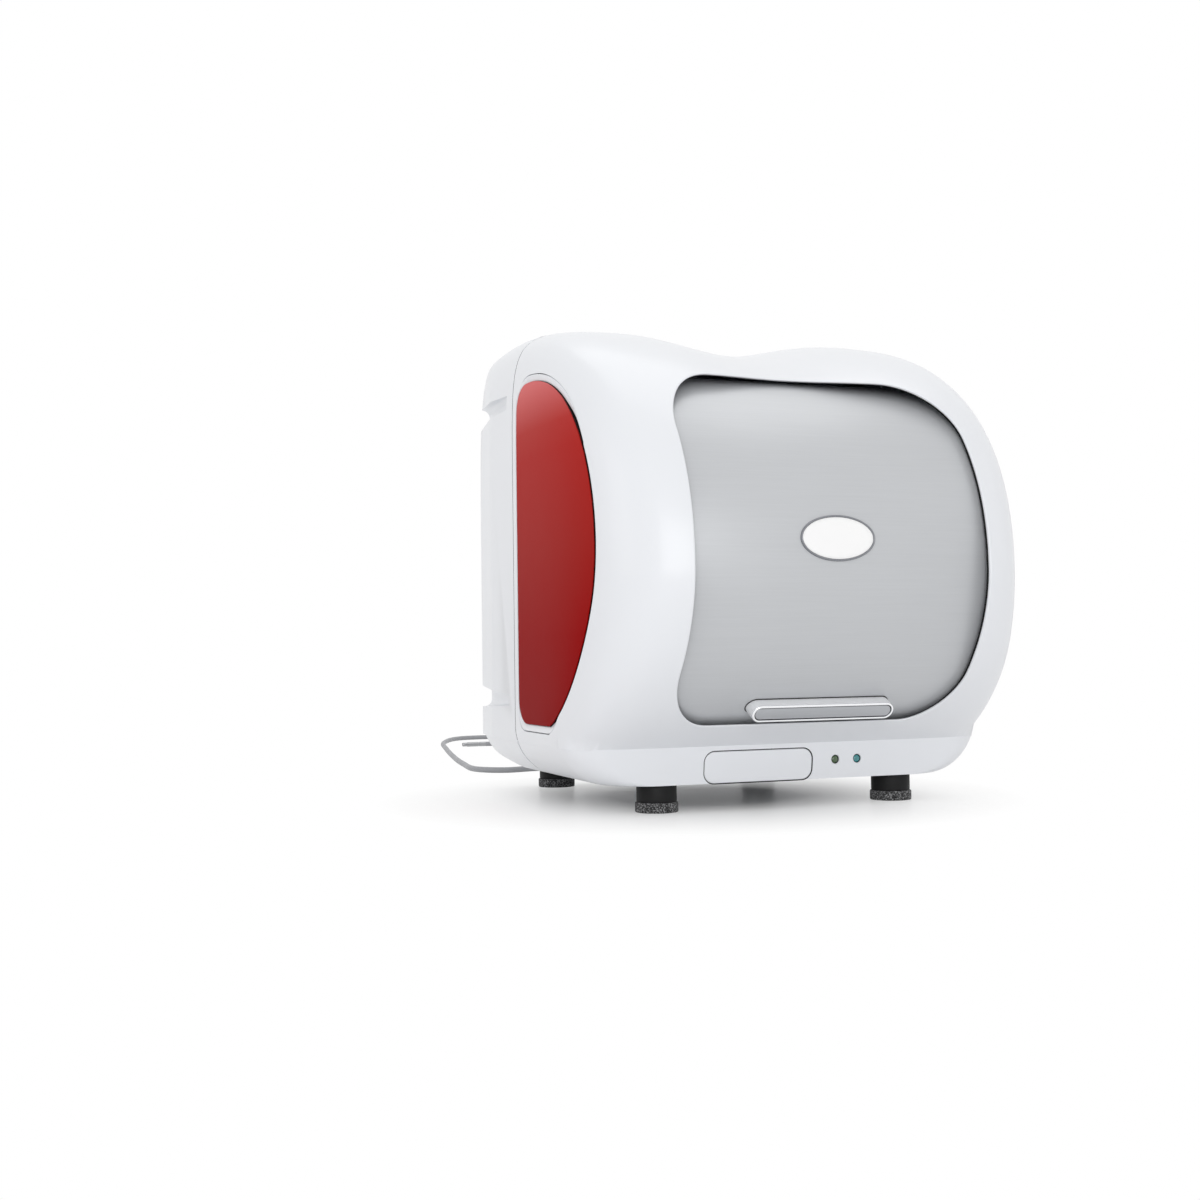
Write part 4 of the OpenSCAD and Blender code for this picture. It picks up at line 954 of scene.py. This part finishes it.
def on_bar(x, v, out):
    """A point on the handle bar: x across, v up its face, out along the bar from the door."""
    a, t = math.radians(HANDLE_ANGLE), math.radians(HANDLE_TILT)
    return Vector((HANDLE_X + x, HINGE_Y - DOOR_R * math.cos(a) - out * math.cos(t) - v * math.sin(t),
                   HINGE_Z - DOOR_R * math.sin(a) - out * math.sin(t) + v * math.cos(t)))

def handle_ring(inset, down):
    """The bar's outline made smaller by inset, down from its face."""
    shape = stadium(HANDLE_W - 2 * inset, HANDLE_H - 2 * inset)
    return [on_bar(x, v, HANDLE_OUT - down) * S for x, v in shape]

def door_ring(sink, grow=0.0):
    """Where the bar's outline, or one a little wider, meets the door; sunk into it or standing off it."""
    row = []
    for x, v in stadium(HANDLE_W + 2 * grow, HANDLE_H + 2 * grow):
        p, q = on_bar(x, v, 0), on_bar(x, v, 1)
        d = (p - q).normalized()
        o = Vector((0, q.y - HINGE_Y, q.z - HINGE_Z))
        b = o.dot(d)
        row.append((q + d * (-b - math.sqrt(max(0, b * b - o.dot(o) + (DOOR_R - sink) ** 2)))) * S)
    return row

bar = ringed("handle_bar", [door_ring(0.8), handle_ring(0, 1.9), handle_ring(0.3, 1.8)], 38)
dress(bar, "door", "door_handle", mat="bar", slot="chrome")
# painted shade: a black ring round the bar where it meets the door, for the shadow in that gap
contact_shade = ringed("handle_contact_shade", [door_ring(sink, grow) for sink, grow in
                              ((0.8, 0.8), (-0.45, 0.8), (-0.5, 0.6), (-0.5, -0.3))], 38)
dress(contact_shade, "door", mat="black_plastic", slot="chrome")
rim = ringed("handle_rim", [handle_ring(*r) for r in (
    (0.15, 2.0), (0.0, 1.5), (0.1, 0.8), (0.5, 0.25), (1.1, 0), (1.6, 0),
    (2.0, 0.2), (2.2, 0.7), (2.25, 1.6))], 38)
dress(rim, "door", mat="chrome", slot="chrome")
seat = ringed("handle_seat", [handle_ring(*r) for r in ((2.2, 1.59), (2.2, 1.45), (2.4, 1.45))], 38)
dress(seat, "door", mat="black_plastic", slot="sheet")
face = ringed("handle_inlay", [handle_ring(*r) for r in (
    (2.95, 1.5), (2.95, 0.9), (3.1, 0.7), (3.4, 0.6))], 38)
dress(face, "door", "handle_face", mat="brushed", slot="sheet")

def oval(w, h, n=96):
    return [(w / 2 * math.cos(2 * math.pi * i / n), h / 2 * math.sin(2 * math.pi * i / n)) for i in range(n)]

def badge_ring(inset, height):
    """The badge's outline made smaller by inset, height over the door."""
    up = math.radians(BADGE_ANGLE) * DOOR_R
    shape = oval(BADGE_W - 2 * inset, BADGE_H - 2 * inset)
    return [on_drum(x + BADGE_X, up + v, DOOR_R + height) for x, v in shape]

rim = ringed("badge_rim_ring", [badge_ring(*r) for r in (
    (1.9, 0.0), (0, 0.0), (0.05, 1.0), (0.4, 1.7), (1.0, 2.0), (1.5, 1.8), (1.8, 1.2), (1.9, 0.2))], 50)
dress(rim, "door", "badge_rim", mat="badge_rim", slot="sheet")
plate = ringed("badge_plate", [badge_ring(*r) for r in (
    (2.0, 0.0), (2.0, 1.0), (2.6, 1.3), (6, 1.5), (12, 1.62), (18, 1.68))], 30)
dress(plate, "door", "badge_face", mat="badge", slot="white_plastic")

# ---------------------------------------------------------- skirt fittings
def on_skirt(x, z, back):
    """A point behind the skirt's front face by back."""
    return Vector((x, skirt_front(z) + back, z)) * S

def drawer_front():
    """The drawer's front plate, which follows the skirt and has rounded edges."""
    pts = resample(drawer_outline(), 160)
    cx, cz = DRAWER_X, (UNDER + DRAWER_TOP) / 2
    rows = []
    for inset, back in ((0, 4.4), (0, 1.0), (0.25, 0.4), (0.8, 0.05), (1.4, 0.0)):
        fx = 1 - inset / (DRAWER_W / 2)
        fz = 1 - inset / ((DRAWER_TOP - UNDER) / 2)
        rows.append([on_skirt(cx + (x - cx) * fx, cz + (z - cz) * fz, back) for x, z in pts])
    return ringed("drawer_front", rows, 50)

dress(drawer_front(), "waste_drawer", "waste_drawer_front", mat="shell", slot="shell")

def drawer_gap_shade():
    """A black lining in the gap round the drawer front: painted shade in that gap."""
    n = 160
    rows = [[on_skirt(x, z, back) for x, z in resample(drawer_outline(e), n)]
            for e, back in ((0.78, 3.4), (0.78, 0.15), (0.1, 0.2), (0.1, 3.4))]
    faces = [[i * n + j, i * n + (j + 1) % n, (i + 1) * n + (j + 1) % n, (i + 1) * n + j]
             for i in range(3) for j in range(n)]
    return mesh_object("drawer_gap_shade", [q for r in rows for q in r], faces, False)

dress(drawer_gap_shade(), "chassis", mat="black_plastic", slot="shell")

# indicator lamps
LENS = [(0.3, 0.3), (0.35, 1.4), (0.6, 2.4), (1.1, 3.2), (1.8, 3.6), (5.5, 3.6)]
CUP = [(3.4, 4.15), (0.4, 4.15), (0.12, 4.25), (0.0, 4.5), (0.1, 4.9), (0.8, 5.0), (3.4, 5.0)]
SEAT = [(1.3, 3.62), (1.3, 4.14), (3.2, 4.14), (3.2, 3.62)]
for x, node, mat in LAMPS:
    at, axis = (x, skirt_front(LAMP_Z), LAMP_Z), (0, 1, 0)
    dress(turned("%s_lens" % node, LENS, at, axis), "chassis", node, mat=mat, slot=mat)
    dress(turned("%s_surround" % node, CUP, at, axis), "chassis", mat="shell", slot="shell")
    dress(turned("%s_seat" % node, SEAT, at, axis), "chassis", mat="black_plastic", slot="shell")

# -------------------------------------------------------------------- feet
FEET = [(x, y, 0) for x in (-122, 122) for y in (-85, 203)]
BLOCK = [(9.0, 17.6), (9.5, 18.2), (11, 18.4), (23.5, 18.4), (24.6, 18.1), (25, 17.4)]
PAD = [(0, 19.2), (0.6, 19.6), (2, 19.7), (7.6, 19.7), (8.6, 19.4), (9.0, 18.6)]
rubber = join([turned("f", BLOCK, at, (0, 0, 1), 72) for at in FEET], "foot_rubbers")
dress(sharpen(rubber, 35), "chassis", "rubber_feet", mat="rubber", slot="rubber")
felt = join([turned("p", PAD, at, (0, 0, 1), 72) for at in FEET], "foot_pads")
dress(sharpen(felt, 45), "chassis", "felt_pads", mat="felt", slot="felt")

# ----------------------------------------------------------- floor, light
SHADOW_AT, SHADOW_FROM, SHADOW_TO = (-0.03, 0.03, 0), 0.09, 0.32  # where the floor takes on plain white, m
AMBIENT = 0.67

def floor_material():
    """Pale plastic that holds the object's shadow and turns plain white away from it."""
    m = Mat("floor")
    m.colour(tones(m, (247, 247, 247), 0.004, 2))
    m.rough(m.span(m.noise(3, 1), 0.3, 0.32, 0.0, 1.0))
    m.set(Specular_IOR_Level=0.15)
    white = m.add('ShaderNodeEmission')
    white.inputs[0].default_value = (1, 1, 1, 1)
    dist = m.add('ShaderNodeVectorMath')
    dist.operation = 'DISTANCE'
    m.link(m.co, dist.inputs[0])
    dist.inputs[1].default_value = SHADOW_AT
    gate = m.add('ShaderNodeMath')
    gate.operation = 'MULTIPLY'
    m.link(any_ray(m.t), gate.inputs[0])
    m.link(m.span(dist.outputs['Value'], 0.0, 1.0, SHADOW_FROM, SHADOW_TO), gate.inputs[1])
    blend = m.add('ShaderNodeMixShader')
    m.link(gate.outputs[0], blend.inputs[0])
    m.link(m.b.outputs[0], blend.inputs[1])
    m.link(white.outputs[0], blend.inputs[2])
    m.link(blend.outputs[0], m.out.inputs['Surface'])
    return m.m

stage = mesh_object("floor", [(-9, -4, 0), (9, -4, 0), (9, 14, 0), (-9, 14, 0)], [[0, 1, 2, 3]])
paint(stage, floor_material())

def area(name, loc, target, size, power):
    d = bpy.data.lights.new(name, 'AREA')
    d.shape = 'RECTANGLE'
    d.size, d.size_y = size
    d.energy = power
    o = bpy.data.objects.new(name, d)
    o.location = loc
    o.rotation_euler = (Vector(target) - Vector(loc)).to_track_quat('-Z', 'Y').to_euler()
    bpy.context.scene.collection.objects.link(o)

area("top", (0.2, 0.4, 2.6), (0, 0, 0.2), (2.4, 2.0), 12.3)
area("front", (-1.0, -2.6, 0.65), (0, 0, 0.2), (1.8, 1.2), 18.5)
area("left", (-2.6, 0.2, 1.0), (0, 0, 0.25), (1.4, 1.4), 4.2)
area("right", (2.4, -1.0, 1.2), (0, 0, 0.25), (1.6, 1.6), 1.5)

def set_world():
    """Plain white where it is seen, and AMBIENT as light on the object."""
    w = bpy.data.worlds.new("world")
    bpy.context.scene.world = w
    w.use_nodes = True
    t = w.node_tree
    t.nodes.clear()
    out, mix = t.nodes.new('ShaderNodeOutputWorld'), t.nodes.new('ShaderNodeMixShader')
    t.links.new(any_ray(t), mix.inputs[0])
    for i, strength in ((1, AMBIENT), (2, 1.0)):
        sky = t.nodes.new('ShaderNodeBackground')
        sky.inputs[0].default_value = (1, 1, 1, 1)
        sky.inputs[1].default_value = strength
        t.links.new(sky.outputs[0], mix.inputs[i])
    t.links.new(mix.outputs[0], out.inputs[0])

set_world()
bpy.context.scene.view_settings.view_transform = 'Standard'
